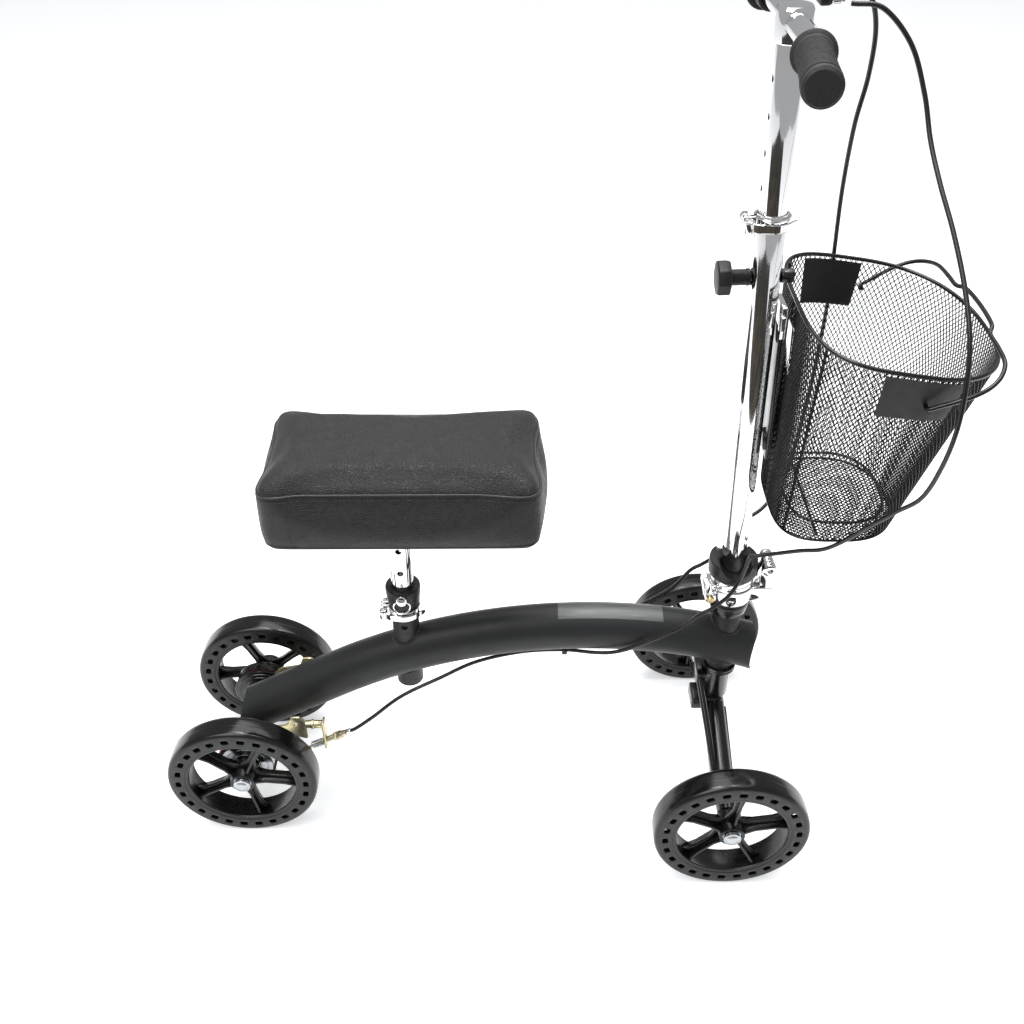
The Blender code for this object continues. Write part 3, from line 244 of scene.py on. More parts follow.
def tyre_black():
    """Solid polyurethane: a gloss side, a duller and dustier tread, and a moulding line."""
    s = Shader("tyre_black")
    split = s.add("ShaderNodeSeparateXYZ", {"Vector": s.place}).outputs
    squares = [s.math("MULTIPLY", split[k], split[k]) for k in (0, 2)]
    out = s.math("SQRT", s.math("ADD", *squares))
    tread = s.range(out, 0.0, 1.0, 0.0972, 0.0996)
    colour = s.mottled(60, (0.0026, 0.0027, 0.0030), (0.0048, 0.0048, 0.0051))
    dirt = s.math("MULTIPLY", tread, s.range(s.noise(130, 6, 0.8), 0.0, 0.06, 0.5, 0.75))
    colour = s.mix(dirt, colour, (0.085, 0.082, 0.077))
    scuff = s.range(s.noise(300, 5, 0.75), 0, 0.07, 0.58, 0.72)
    colour = s.mix(scuff, colour, (0.09, 0.09, 0.088))
    shine = s.patchy(45, 0.30, 0.42, 5, 0.7)
    line = s.math("ABSOLUTE", split[1])
    seam = s.range(line, 1.0, 0.0, 0.0002, 0.0007)
    return s.finish(
        Base_Color=colour,
        Roughness=s.math("SUBTRACT", shine, s.math("MULTIPLY", tread, 0.20)),
        Specular_IOR_Level=0.42,
        Normal=s.bump(seam, 0.0002, 0.5, s.bump(s.noise(500, 3), 0.00006, 0.4)),
    )


def chrome_plate():
    s = Shader("chrome_plate")
    fine = s.noise(90, 6, 0.75, s.stretched((1.0, 1.0, 9.0)))
    haze = s.range(s.noise(14, 5, 0.7), 0.035, 0.11, 0.35, 0.7)
    pits = s.range(s.cells(420, "F1"), 0.16, 0.0, 0.0, 0.10)
    return s.finish(
        Base_Color=s.mottled(6, (0.80, 0.80, 0.81), (0.88, 0.88, 0.885), 0.3, 3),
        Metallic=1.0,
        Roughness=s.math("ADD", haze, pits),
        Normal=s.bump(fine, 0.00002, 0.25),
    )


def brushed_steel():
    s = Shader("brushed_steel")
    rings = s.noise(600, 3, 0.6, s.stretched((0.02, 1.0, 0.02)))
    return s.finish(
        Base_Color=s.mottled(40, (0.36, 0.38, 0.40), (0.52, 0.54, 0.56), 0.3),
        Metallic=1.0,
        Roughness=s.patchy(120, 0.18, 0.36, 5),
        Normal=s.bump(rings, 0.00008, 0.4),
    )


def yellow_zinc():
    s = Shader("yellow_zinc")
    tint = s.mix(s.range(s.noise(45, 4, 0.6), 0, 1, 0.35, 0.65), (0.70, 0.60, 0.30), (0.58, 0.56, 0.42))
    tint = s.mix(s.range(s.noise(150, 5), 0, 0.5, 0.55, 0.75), tint, (0.42, 0.30, 0.16))
    return s.finish(
        Base_Color=tint,
        Metallic=0.92,
        Roughness=s.patchy(110, 0.22, 0.42, 5),
        Normal=s.bump(s.noise(800, 3), 0.00005, 0.4),
    )


def brass_screw():
    s = Shader("brass_screw")
    return s.finish(
        Base_Color=s.mix(s.noise(200, 4), (0.62, 0.46, 0.20), (0.75, 0.60, 0.32)),
        Metallic=1.0,
        Roughness=s.range(s.noise(260, 4), 0.2, 0.4),
        Normal=s.bump(s.noise(900, 2), 0.00004, 0.3),
    )


def grip_rubber():
    s = Shader("grip_rubber")
    colour = s.mottled(60, (0.009, 0.009, 0.0095), (0.017, 0.017, 0.017))
    return s.finish(
        Base_Color=colour,
        Roughness=s.patchy(150, 0.62, 0.82),
        Normal=s.bump(s.cells(700), 0.0002, 0.5),
    )


def grained_vinyl():
    """Upholstery vinyl: a fine pebbled grain with creases, painted shade in the grain's grooves and the folds'
    hollows, and a soft sheen.
    """
    s = Shader("grained_vinyl")
    grain = s.cells(430, "DISTANCE_TO_EDGE")
    crease = s.noise(36, 6, 0.7)
    # painted shade: the colour follows the fold height, darker in the folds' hollows than on their crests
    colour = s.mix(s.range(crease, 0, 1, 0.3, 0.7), (0.0065, 0.0069, 0.0072), (0.0105, 0.0109, 0.0113))
    # painted shade: the grain's grooves, where its bump is lowest, are painted darker
    colour = s.mix(s.range(grain, 0.35, 0.0, 0.0, 0.08), colour, (0.006, 0.006, 0.006))
    fold = s.bump(crease, 0.0009, 0.16)
    return s.finish(
        Base_Color=colour,
        Roughness=s.patchy(60, 0.40, 0.56, 5, 0.7),
        Normal=s.bump(s.range(grain, 0, 1, 0.0, 0.22), 0.00045, 0.85, fold),
        Specular_IOR_Level=0.40,
        Sheen_Weight=0.03,
    )


def piping_vinyl():
    s = Shader("piping_vinyl")
    colour = s.mottled(90, (0.0085, 0.0088, 0.0090), (0.0140, 0.0143, 0.0146), 0.3)
    return s.finish(
        Base_Color=colour,
        Roughness=s.patchy(120, 0.34, 0.48),
        Normal=s.bump(s.cells(620), 0.00018, 0.4),
    )


def cable_jacket():
    s = Shader("cable_jacket")
    colour = s.mottled(25, (0.0045, 0.0045, 0.0048), (0.0085, 0.0085, 0.0088))
    return s.finish(
        Base_Color=colour,
        Roughness=s.patchy(80, 0.22, 0.38),
        Normal=s.bump(s.noise(500, 2), 0.00005, 0.3),
    )


def brake_lining():
    s = Shader("brake_lining")
    inputs = {"Vector": s.place, "Scale": 260.0, "Distortion": 3.0, "Detail": 2.0}
    weave = s.add("ShaderNodeTexWave", inputs).outputs["Fac"]
    return s.finish(
        Base_Color=s.mix(weave, (0.20, 0.045, 0.025), (0.34, 0.10, 0.055)),
        Roughness=s.range(s.noise(200, 4), 0.7, 0.9),
        Normal=s.bump(weave, 0.0003, 0.5),
    )


def silver_foil():
    s = Shader("silver_foil")
    brushed = s.noise(260, 4, 0.6, s.stretched((0.05, 1.0, 1.0)))
    return s.finish(
        Base_Color=s.mix(s.range(brushed, 0, 1, 0.3, 0.7), (0.085, 0.090, 0.087), (0.125, 0.130, 0.126)),
        Metallic=0.35,
        Roughness=s.patchy(50, 0.32, 0.48),
        Normal=s.bump(brushed, 0.00004, 0.3),
    )


def stage_dark():
    s = Shader("stage_dark")
    patches = s.mix(s.range(s.noise(2.2, 4), 0, 1, 0.4, 0.6), (0.006, 0.0055, 0.005), (0.050, 0.040, 0.022))
    return s.finish(Base_Color=patches, Roughness=s.range(s.noise(8, 3), 0.6, 0.8))


def stage_white():
    s = Shader("stage_white")
    return s.finish(
        Base_Color=s.mix(s.noise(1.2, 3), (0.86, 0.865, 0.87), (0.88, 0.885, 0.89)),
        Roughness=s.range(s.noise(3, 3), 0.5, 0.6),
        Normal=s.bump(s.noise(220, 2), 0.0002, 0.08),
        Emission_Color=(0.98, 0.99, 1.0, 1.0),
        Emission_Strength=0.5,
    )


LOOKS = {
    look.__name__: look()
    for look in (
        powder_black, gloss_enamel, moulded_nylon, wheel_plastic, tyre_black, chrome_plate, brushed_steel,
        yellow_zinc,
        brass_screw, grip_rubber, grained_vinyl, piping_vinyl, cable_jacket, brake_lining, silver_foil,
        stage_white, stage_dark,
    )
}

# the look of each slot of the record, for the CAD nodes that stay as they are
SLOT_LOOKS = {
    "frame_black": "powder_black",
    "gloss_black": "wheel_plastic",
    "gloss_paint": "gloss_enamel",
    "chrome": "chrome_plate",
    "steel": "brushed_steel",
    "zinc": "yellow_zinc",
    "tyre": "tyre_black",
    "plastic": "moulded_nylon",
    "rubber": "grip_rubber",
    "vinyl": "grained_vinyl",
    "cable": "cable_jacket",
    "lining": "brake_lining",
}
LOOK_SLOTS = {look: slot for slot, look in SLOT_LOOKS.items()}
LOOK_SLOTS.update(brass_screw="zinc", piping_vinyl="vinyl", silver_foil="steel")
NODE_SLOT = {s["node"]: s["material_slot"] for s in frame["record"]["subparts"]}


# ------------------------------------------------------------------ mesh helpers
def around(count):
    """Even angles round a full turn."""
    return [2 * math.pi * k / count for k in range(count)]


def squared(value, power):
    """A sine or cosine flattened so that its oval nears a rectangle."""
    return math.copysign(abs(value) ** power, value)


def finished(bm, sharp=35):
    """Ends a bmesh: welded, faces out, smooth with crisp edges."""
    bmesh.ops.remove_doubles(bm, verts=bm.verts, dist=1e-6)
    bmesh.ops.recalc_face_normals(bm, faces=bm.faces)
    mesh = bpy.data.meshes.new("mesh")
    bm.to_mesh(mesh)
    bm.free()
    mesh.shade_smooth()
    mesh.set_sharp_from_angle(angle=math.radians(sharp))
    return mesh


def turned(profile, segments=56):
    """A closed loop of (radius, z) turned about Z."""
    bm = bmesh.new()
    rings = []
    for radius, z in profile:
        if radius < 1e-9:
            rings.append([bm.verts.new((0, 0, z))])
            continue
        rings.append([bm.verts.new((radius * math.cos(a), radius * math.sin(a),
                                    z)) for a in around(segments)])
    for low, high in zip(rings, rings[1:] + rings[:1]):
        if len(low) == 1 and len(high) == 1:
            continue
        for k in range(segments):
            n = (k + 1) % segments
            corners = [low[k % len(low)], low[n % len(low)], high[n % len(high)], high[k % len(high)]]
            bm.faces.new(list(dict.fromkeys(corners)))
    return finished(bm)


def rod(radius, low, high, round_=0.0006):
    """The outline of a solid bar, for turned()."""
    c = round_
    return [(0, low), (radius - c, low), (radius - 0.3 * c, low + 0.3 * c), (radius, low + c),
            (radius, high - c),
            (radius - 0.3 * c, high - 0.3 * c), (radius - c, high), (0, high)]


def sleeve(outer, bore, low, high, round_=0.0005):
    """The outline of a tube, for turned()."""
    c = round_
    return [(outer - c, low), (outer - 0.3 * c, low + 0.3 * c), (outer, low + c), (outer, high - c),
            (outer - 0.3 * c, high - 0.3 * c), (outer - c, high), (bore + 0.3 * c, high), (bore, high - c),
            (bore, low + c), (bore + 0.3 * c, low)]


def swept(rings, closed=False, sharp=35):
    """Rings of points joined in order; the two ends are capped unless the rings close on themselves."""
    bm = bmesh.new()
    made = [[bm.verts.new(p) for p in ring] for ring in rings]
    pairs = list(zip(made, made[1:]))
    if closed:
        pairs.append((made[-1], made[0]))
    for a, b in pairs:
        for k in range(len(a)):
            n = (k + 1) % len(a)
            bm.faces.new((a[k], a[n], b[n], b[k]))
    if not closed:
        bm.faces.new(made[0])
        bm.faces.new(made[-1])
    return finished(bm, sharp)


def smooth_path(points, count):
    """A smooth curve through the points, read at even steps."""
    p = [Vector(q) for q in points]
    p = [2 * p[0] - p[1]] + p + [2 * p[-1] - p[-2]]
    fine = []
    for a, b, c, d in zip(p, p[1:], p[2:], p[3:]):
        for k in range(24):
            t = k / 24
            bend, twist = 2 * a - 5 * b + 4 * c - d, 3 * b - a - 3 * c + d
            fine.append(0.5 * (2 * b + (c - a) * t + bend * t**2 + twist * t**3))
    fine.append(p[-2])
    lengths = [0.0]
    for a, b in zip(fine, fine[1:]):
        lengths.append(lengths[-1] + (b - a).length)
    out, j = [], 0
    for k in range(count):
        want = lengths[-1] * k / (count - 1)
        while j < len(fine) - 2 and lengths[j + 1] < want:
            j += 1
        share = (want - lengths[j]) / max(lengths[j + 1] - lengths[j], 1e-12)
        out.append(fine[j].lerp(fine[j + 1], min(share, 1.0)))
    return out


def bar(path, radius, sides=16, closed=False, round_ends=True):
    """A round bar along a path. radius may be a function of the share of the way along."""
    points = [Vector(p) for p in path]
    count = len(points)
    tangents = []
    for i in range(count):
        if closed:
            tangents.append((points[(i + 1) % count] - points[i - 1]).normalized())
        else:
            tangents.append((points[min(i + 1, count - 1)] - points[max(i - 1, 0)]).normalized())
    size = radius if callable(radius) else (lambda share: radius)
    side = tangents[0].orthogonal().normalized()
    rings = []

    def ring(p, u, v, r):
        return [p + r * (math.cos(a) * u + math.sin(a) * v) for a in around(sides)]

    for i, (p, t) in enumerate(zip(points, tangents)):
        side = (side - t * side.dot(t)).normalized()
        up = t.cross(side)
        r = size(i / (count - 1))
        if not closed and round_ends and i == 0:
            rings.append(ring(p - t * r * 0.25, side, up, r * 0.72))
        rings.append(ring(p, side, up, r))
        if not closed and round_ends and i == count - 1:
            rings.append(ring(p + t * r * 0.25, side, up, r * 0.72))
    return swept(rings, closed)


def plate(outline, thickness, round_=0.0005):
    """An outline in X and Z given a thickness along Y, with eased edges."""
    bm = bmesh.new()
    face = bm.faces.new([bm.verts.new((x, -thickness / 2, z)) for x, z in outline])
    grown = bmesh.ops.extrude_face_region(bm, geom=[face])
    moved = [v for v in grown["geom"] if isinstance(v, bmesh.types.BMVert)]
    bmesh.ops.translate(bm, vec=(0, thickness, 0), verts=moved)
    bmesh.ops.recalc_face_normals(bm, faces=bm.faces)
    if round_:
        rims = [e for e in bm.edges if e.calc_face_angle(0) > 0.6]
        bmesh.ops.bevel(bm, geom=rims, offset=round_, segments=2, affect="EDGES", profile=0.5)
    return finished(bm)


def block(size, centre=(0, 0, 0), round_=0.0008):
    bm = bmesh.new()
    bmesh.ops.create_cube(bm, size=1.0)
    bmesh.ops.scale(bm, vec=size, verts=bm.verts)
    if round_:
        bmesh.ops.bevel(bm, geom=bm.edges, offset=round_, segments=3, affect="EDGES", profile=0.5)
    bmesh.ops.translate(bm, vec=centre, verts=bm.verts)
    return finished(bm, 40)


def drill(radius, low, high, segments):
    """A plain cylinder along Z, to cut holes with."""
    return turned(rod(radius, low, high, 0), segments)


def at(mesh, *matrices):
    """The mesh moved by the matrices, the last one first."""
    for matrix in reversed(matrices):
        mesh.transform(matrix)
    return mesh


def move(x, y, z):
    return Matrix.Translation((x, y, z))


def turn(degrees, axis):
    return Matrix.Rotation(math.radians(degrees), 4, axis)


def joined(*meshes):
    """Several closed meshes in one, each still closed."""
    bm = bmesh.new()
    for mesh in meshes:
        bm.from_mesh(mesh)
        bpy.data.meshes.remove(mesh)
    made = bpy.data.meshes.new("joined")
    bm.to_mesh(made)
    bm.free()
    made.shade_smooth()
    made.set_sharp_from_angle(angle=math.radians(35))
    return made


def carved(mesh, cutters=(), added=(), soften=0.0):
    """mesh with the cutters taken away and the added shapes welded on, then its new edges eased."""
    base = bpy.data.objects.new("carve", mesh)
    bpy.context.scene.collection.objects.link(base)
    helpers = []
    for operation, shapes in (("UNION", added), ("DIFFERENCE", cutters)):
        for shape in shapes:
            tool = bpy.data.objects.new("tool", shape)
            bpy.context.scene.collection.objects.link(tool)
            helpers.append(tool)
            modifier = base.modifiers.new("b", "BOOLEAN")
            modifier.operation, modifier.solver, modifier.object = operation, "EXACT", tool
    if soften:
        ease = base.modifiers.new("e", "BEVEL")
        ease.width, ease.segments, ease.limit_method, ease.angle_limit = soften, 2, "ANGLE", math.radians(38)
        ease.use_clamp_overlap = True
    bpy.context.view_layer.update()
    result = bpy.data.meshes.new_from_object(base.evaluated_get(bpy.context.evaluated_depsgraph_get()))
    for used in [base, *helpers]:
        old = used.data
        bpy.data.objects.remove(used)
        bpy.data.meshes.remove(old)
    result.shade_smooth()
    result.set_sharp_from_angle(angle=math.radians(35))
    return result


def piece(name, mesh, look, body, replaces=(), origin=None):
    """Puts a mesh in the scene as one piece that rides on a CAD body and may stand for CAD nodes."""
    if origin is not None:
        mesh.transform(Matrix.Translation(-Vector(origin)))
    mesh.materials.clear()
    mesh.materials.append(LOOKS[look])
    made = bpy.data.objects.new(name, mesh)
    made.location = CENTRE_SHIFT + Vector(origin or (0, 0, 0))
    bpy.context.scene.collection.objects.link(made)
    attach(made, body)
    if replaces:
        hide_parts(*replaces)
    return made


# ------------------------------------------------------------------ main tube and what is welded to it
BEAM_W, BEAM_H, BEAM_WALL = 0.0295, 0.032, 0.002
BEAM_REAR, BEAM_FRONT = -0.424, 0.279
CREST = (0.055, 0.2835)
ARCH_R = 0.680
STRAIGHT_X = -0.275
HEAD_R = 0.0185
YOKE_TOP = 0.363
KNUCKLE_TOP = 0.0335
SEAT_R = 0.0175
POST_IN_SEAT_R = 0.0143


def beam_height(x):
    """Height of the beam's middle: an arc of a circle, then straight down to the rear."""

    def arc(place):
        return CREST[1] - ARCH_R + math.sqrt(ARCH_R**2 - (place - CREST[0]) ** 2)

    if x >= STRAIGHT_X:
        return arc(x)
    reach = CREST[0] - STRAIGHT_X
    return arc(STRAIGHT_X) - reach / math.sqrt(ARCH_R**2 - reach**2) * (STRAIGHT_X - x)


def beam_slope(x):
    return (beam_height(x + 1e-4) - beam_height(x - 1e-4)) / 2e-4


def beam_ring(x, wall, sides=64):
    """One cross-section: upright along most of the beam, leaning at the rear and hollowed at the front."""
    slope = beam_slope(x)
    stretch = math.sqrt(1 + slope**2)
    lean = 0.3 * max(0.0, 1 - (x - BEAM_REAR) / 0.1)
    front = max(0.0, 1 - (BEAM_FRONT - x) / 0.030) ** 2
    points = []
    for a in around(sides):
        y = (BEAM_W - wall) * math.cos(a)
        z = (BEAM_H - wall) * stretch * math.sin(a)
        scallop = -0.0065 * front * (1 - min(1.0, (z / 0.029) ** 2))
        points.append((x + lean * z + scallop, y, beam_height(x) + (1 + lean * slope) * z))
    return points


def build_beam():
    stations = 70
    xs = [BEAM_REAR + (BEAM_FRONT - BEAM_REAR) * i / (stations - 1) for i in range(stations)]
    rings = [beam_ring(x, 0.0) for x in xs] + [beam_ring(x, BEAM_WALL) for x in reversed(xs)]
    beam = swept(rings, closed=True)
    holes = [
        at(drill(HEAD_R + GAP, 0.15, 0.35, 64), move(STEER.x, 0, 0)),
        at(drill(SEAT_R + GAP, 0.12, 0.36, 56), move(SEAT_X, 0, 0)),
        at(drill(0.0133, -0.06, 0.06, 48), move(REAR.x, 0, WHEEL_R) @ ALONG_Y),
    ]
    piece("beam", carved(beam, holes), "powder_black", "frame", ["main_tube"])


def weld_bead(centre_x, radius, top):
    """The ripple of weld where an upright tube meets the beam."""
    rings = []
    for i, a in enumerate(around(150)):
        out = Vector((math.cos(a), math.sin(a), 0))
        x, y = centre_x + (radius + 0.0004) * out.x, (radius + 0.0004) * out.y
        slope = beam_slope(x)
        rise = BEAM_H * math.sqrt(1 + slope**2) * math.sqrt(max(0.02, 1 - (y / BEAM_W) ** 2))
        z = beam_height(x) + (rise if top else -rise)
        rough = 0.0003 * noise.noise(Vector((x, y, z)) * 300)
        size = 0.0021 + 0.00035 * math.sin(i * 2 * math.pi / 6) + rough
        rings.append([
            Vector((x, y, z)) + size * (math.cos(b) * out + math.sin(b) * Vector((0, 0, 1)))
            for b in around(8)
        ])
    return swept(rings, closed=True, sharp=80)


def build_welds():
    beads = [weld_bead(STEER.x, HEAD_R, True), weld_bead(STEER.x, HEAD_R, False)]
    beads += [weld_bead(SEAT_X, SEAT_R, True), weld_bead(SEAT_X, SEAT_R, False)]
    piece("welds", joined(*beads), "powder_black", "frame")


def build_stripe():
    """A plain silver strip on each upper flank of the beam."""
    for side, sign in (("right", -1), ("left", 1)):
        rings = []
        for i in range(60):
            x = 0.018 + 0.137 * i / 59
            stretch = math.sqrt(1 + beam_slope(x) ** 2)
            ring = []
            for lift, order in ((0.00035, range(7)), (0.00005, range(6, -1, -1))):
                for k in order:
                    a = math.radians(75 + 17 * (k / 6 - 0.5) * 2)
                    y = sign * (BEAM_W + lift) * math.cos(a)
                    ring.append((x, y, beam_height(x) + (BEAM_H + lift) * stretch * math.sin(a)))
            rings.append(ring)
        piece(f"stripe_{side}", swept(rings), "silver_foil", "frame")


def build_head():
    low, high = box("head_tube")
    place = move(STEER.x, 0, 0)
    tube = sleeve(HEAD_R, 0.0155, low.z, high.z, 0.0008)
    piece("head_sleeve", at(turned(tube, 64), place), "powder_black", "frame", ["head_tube"])
    low, high = box("headset_lower")
    r, z0, z1 = high.x - STEER.x, low.z, high.z
    lower = [(r - 0.0024, z0), (r - 0.0008, z0 + 0.0003), (r, z0 + 0.0011), (r, z0 + 0.0030),
             (r - 0.0008, z0 + 0.0036),
             (r - 0.0008, z0 + 0.0042), (r, z0 + 0.0048), (r, z1 - 0.0009), (r - 0.0009, z1), (0.0131, z1),
             (0.0131, z0)]
    piece("head_cup_lower", at(turned(lower, 64), place), "gloss_enamel", "frame", ["headset_lower"])
    low, high = box("headset_upper")
    r, z0, z1 = high.x - STEER.x, low.z, high.z
    upper = [(0.0131, z0), (r - 0.0045, z0), (r - 0.0026, z0 + 0.0010), (r - 0.0016, z0 + 0.0050),
             (r - 0.0012, z0 + 0.0090),
             (r - 0.0018, z0 + 0.0096), (r - 0.0018, z0 + 0.0106), (r - 0.0004, z0 + 0.0116),
             (r, z0 + 0.0140),
             (r, z1 - 0.0022), (r - 0.0008, z1 - 0.0006), (r - 0.0022, z1), (0.0131, z1)]
    piece("head_cup_upper", at(turned(upper, 64), place), "gloss_enamel", "frame", ["headset_upper"])


def build_seat_tube():
    low, high = box("seat_tube")
    bore = 0.0156
    profile = [(SEAT_R - 0.0004, low.z), (SEAT_R, low.z + 0.0004), (SEAT_R, high.z - 0.0004),
               (SEAT_R - 0.0004, high.z),
               (bore, high.z), (bore, low.z)]
    tube = at(turned(profile, 56), move(SEAT_X, 0, 0))
    cuts = [
        at(drill(0.0042, -0.03, 0.03, 32), move(SEAT_X, 0, 0.2970) @ ALONG_Y),
        block((0.014, 0.0022, 0.030), (SEAT_X - SEAT_R, 0, high.z - 0.009), 0),
    ]
    piece("seat_sleeve", carved(tube, cuts), "powder_black", "frame", ["seat_tube"])


def build_rear_axle():
    tube = sleeve(0.013, 0.0063, -0.0560, 0.0560, 0.0008)
    place = move(REAR.x, 0, WHEEL_R) @ ALONG_Y
    piece("axle_housing", at(turned(tube, 48), place), "powder_black", "frame", ["rear_axle_housing"])
    face = abs(joint_at("rear_left_spin").y) + WHEEL_HALF
    piece("axle", at(turned(axle_profile(-face, face), 48), place), "brushed_steel", "frame", ["rear_axle"])


def cap_profile(face, sign):
    """A domed axle nut outside a wheel, from the bore outwards."""
    steps = [(0.0060, 0.0008), (0.0110, 0.0008), (0.0115, 0.0013), (0.0115, 0.0026), (0.0108, 0.0034),
             (0.0086, 0.0038),
             (0.0080, 0.0046), (0.0060, 0.0055), (0.0030, 0.0060), (0, 0.0061)]
    return [(r, sign * (face + z)) for r, z in steps]


def axle_profile(low, high):
    return cap_profile(-low, -1)[::-1] + cap_profile(high, 1)


# ------------------------------------------------------------------ wheels
SPOKES = 5
SLOTS = 26


def tyre_mesh():
    """A solid tyre with a flat face, pierced by short slots all round."""
    half, inner = WHEEL_HALF, 0.0757
    edge = [(0.0945, half), (0.0968, half - 0.0006), (0.0986, half - 0.0022), (0.0996, half - 0.0046),
            (WHEEL_R, half - 0.0075)]
    profile = [(inner, -half + 0.001), (inner, half - 0.001), (inner + 0.001, half - 0.0002), (0.0775, half)]
    profile += edge + [(r, -z) for r, z in edge[::-1]] + [(0.0775, -half), (inner + 0.001, -half + 0.0002)]
    ring = at(turned(profile, 182), ALONG_Y)
    w, h, c = 0.0052, 0.0037, 0.0016
    outline = [(-h + c, -w), (h - c, -w), (h, -w + c), (h, w - c), (h - c, w), (-h + c, w), (-h, w - c),
               (-h, -w + c)]
    cuts = []
    for k in range(SLOTS):
        cuts.append(at(plate(outline, 0.05, 0), turn(360 * (k + 0.5) / SLOTS, "Y") @ move(0.0855, 0, 0)))
    hollow = at(turned(sleeve(0.0922, 0.0790, -0.0112, 0.0112, 0), 104), ALONG_Y)
    return carved(ring, [hollow, joined(*cuts)], soften=0.0005)


def spoke_star():
    """The web of the wheel: five spokes that flare into the hub and into the rim."""
    hub, rim, steps = 0.0195, 0.0722, 16

    def half_width(r):
        at_hub, at_rim = max(0, (0.036 - r) / 0.0165), max(0, (r - 0.054) / 0.0182)
        return 0.0052 + 0.0068 * at_hub**2 + 0.0075 * at_rim**2

    outline = []
    for k in range(SPOKES):
        middle = 2 * math.pi * k / SPOKES
        run = [hub + (rim - hub) * i / steps for i in range(steps + 1)]
        for r in run:
            outline.append((r, middle - math.asin(half_width(r) / r)))
        for r in reversed(run):
            outline.append((r, middle + math.asin(half_width(r) / r)))
    return plate([(r * math.cos(a), r * math.sin(a)) for r, a in outline], 0.0045, 0.0009)


def core_mesh():
    """Rim, web, ribs and hub."""
    half = 0.0163
    rim = [(0.0757, -half), (0.0757, half), (0.0735, half), (0.0718, half - 0.0006), (0.0712, half - 0.0018),
           (0.0720, half - 0.0040), (0.0724, 0.004), (0.0724, -0.004), (0.0720, -half + 0.0040),
           (0.0712, -half + 0.0018), (0.0718, -half + 0.0006), (0.0735, -half)]
    hub = [(0.0155, -0.0165), (0.0165, -0.0155), (0.0172, -0.004), (0.0172, 0.004), (0.0165, 0.0155),
           (0.0155, 0.0165),
           (0.0126, 0.0165), (0.0120, 0.0158), (0.0120, 0.0130), (0.0064, 0.0130), (0.0064, -0.0130),
           (0.0120, -0.0130),
           (0.0120, -0.0158), (0.0126, -0.0165)]
    shells = [at(turned(rim, 150), ALONG_Y), at(turned(hub, 64), ALONG_Y), spoke_star()]
    side = [(0.0160, -0.0135), (0.0300, -0.0105), (0.0560, -0.0105), (0.0730, -0.0135)]
    side += [(r, -z) for r, z in side[::-1]]
    for k in range(SPOKES):
        rib = at(plate(side, 0.0034, 0.0006), turn(-360 * k / SPOKES, "Y") @ turn(90, "X"))
        shells.append(rib)
    return joined(*shells)


def build_wheels():
    tyre, core = tyre_mesh(), core_mesh()
    bearing = turned([(0.0068, 0.0130), (0.0118, 0.0130), (0.0118, 0.0150), (0.0108, 0.0153),
                      (0.0100, 0.0146),
                      (0.0084, 0.0146), (0.0078, 0.0153), (0.0068, 0.0150)], 48)
    for name, rolled in (("rear_right", 7), ("rear_left", 31), ("front_right", -11), ("front_left", 22)):
        hub = joint_at(f"{name}_spin")
        spun = move(*hub) @ turn(rolled, "Y")
        body = f"{name}_wheel"
        piece(f"tread_{name}", at(tyre.copy(), spun), "tyre_black", body, [f"tyre_{name}"], hub)
        piece(f"core_{name}", at(core.copy(), spun), "wheel_plastic", body, [f"wheel_{name}"], hub)
        for side, way in (("in", 0), ("out", 180)):
            race = at(bearing.copy(), spun, turn(way, "Z"), ALONG_Y)
            piece(f"bearing_{name}_{side}", race, "brushed_steel", body, origin=hub)


# ------------------------------------------------------------------ rear brakes
DRUM_IN, DRUM_OUT = 0.0585, 0.0790
BRAKE_Y, BAND_Y = 0.0555, 0.0672
BAND_R = 0.0395
ARM_PIVOT = joint_at("brake_arm_left_pull")
CABLE_START = Vector((REAR.x + 0.084, 0, 0.1085))
CABLE_RUN = (Vector((REAR.x + 0.136, 0, 0.1370)) - CABLE_START).normalized()


def band_shell(inner, outer, half, y):
    opening, steps = math.radians(28), 90
    rings = []
    for i in range(steps + 1):
        a = opening + (2 * math.pi - 2 * opening) * i / steps
        c, s = math.cos(a), math.sin(a)
        rings.append([(inner * c, y - half, inner * s), (outer * c, y - half, outer * s),
                      (outer * c, y + half, outer * s),
                      (inner * c, y + half, inner * s)])
    return swept(rings)


def coil(radius, wire, turns, length, per_turn=18):
    path = []
    for i in range(turns * per_turn + 1):
        a = 2 * math.pi * i / per_turn
        path.append((radius * math.cos(a), radius * math.sin(a), length * i / (turns * per_turn)))
    return bar(path, wire, 8)


def bracket_outline(x0, z0):
    outline = []
    for k in range(9):
        a = math.radians(22 + 5 * k)
        outline.append((REAR.x + 0.0419 * math.cos(a), WHEEL_R + 0.0419 * math.sin(a)))
    outline += [(x0 - 0.018, z0 + 0.020), (x0 + 0.006, z0 + 0.0245), (x0 + 0.010, z0 + 0.028),
                (x0 + 0.0145, z0 + 0.0395),
                (x0 + 0.026, z0 + 0.0400), (x0 + 0.034, z0 + 0.0320), (x0 + 0.034, z0),
                (x0 + 0.031, z0 - 0.002),
                (x0 + 0.020, z0 + 0.002), (x0 + 0.006, z0 - 0.012)]
    return outline


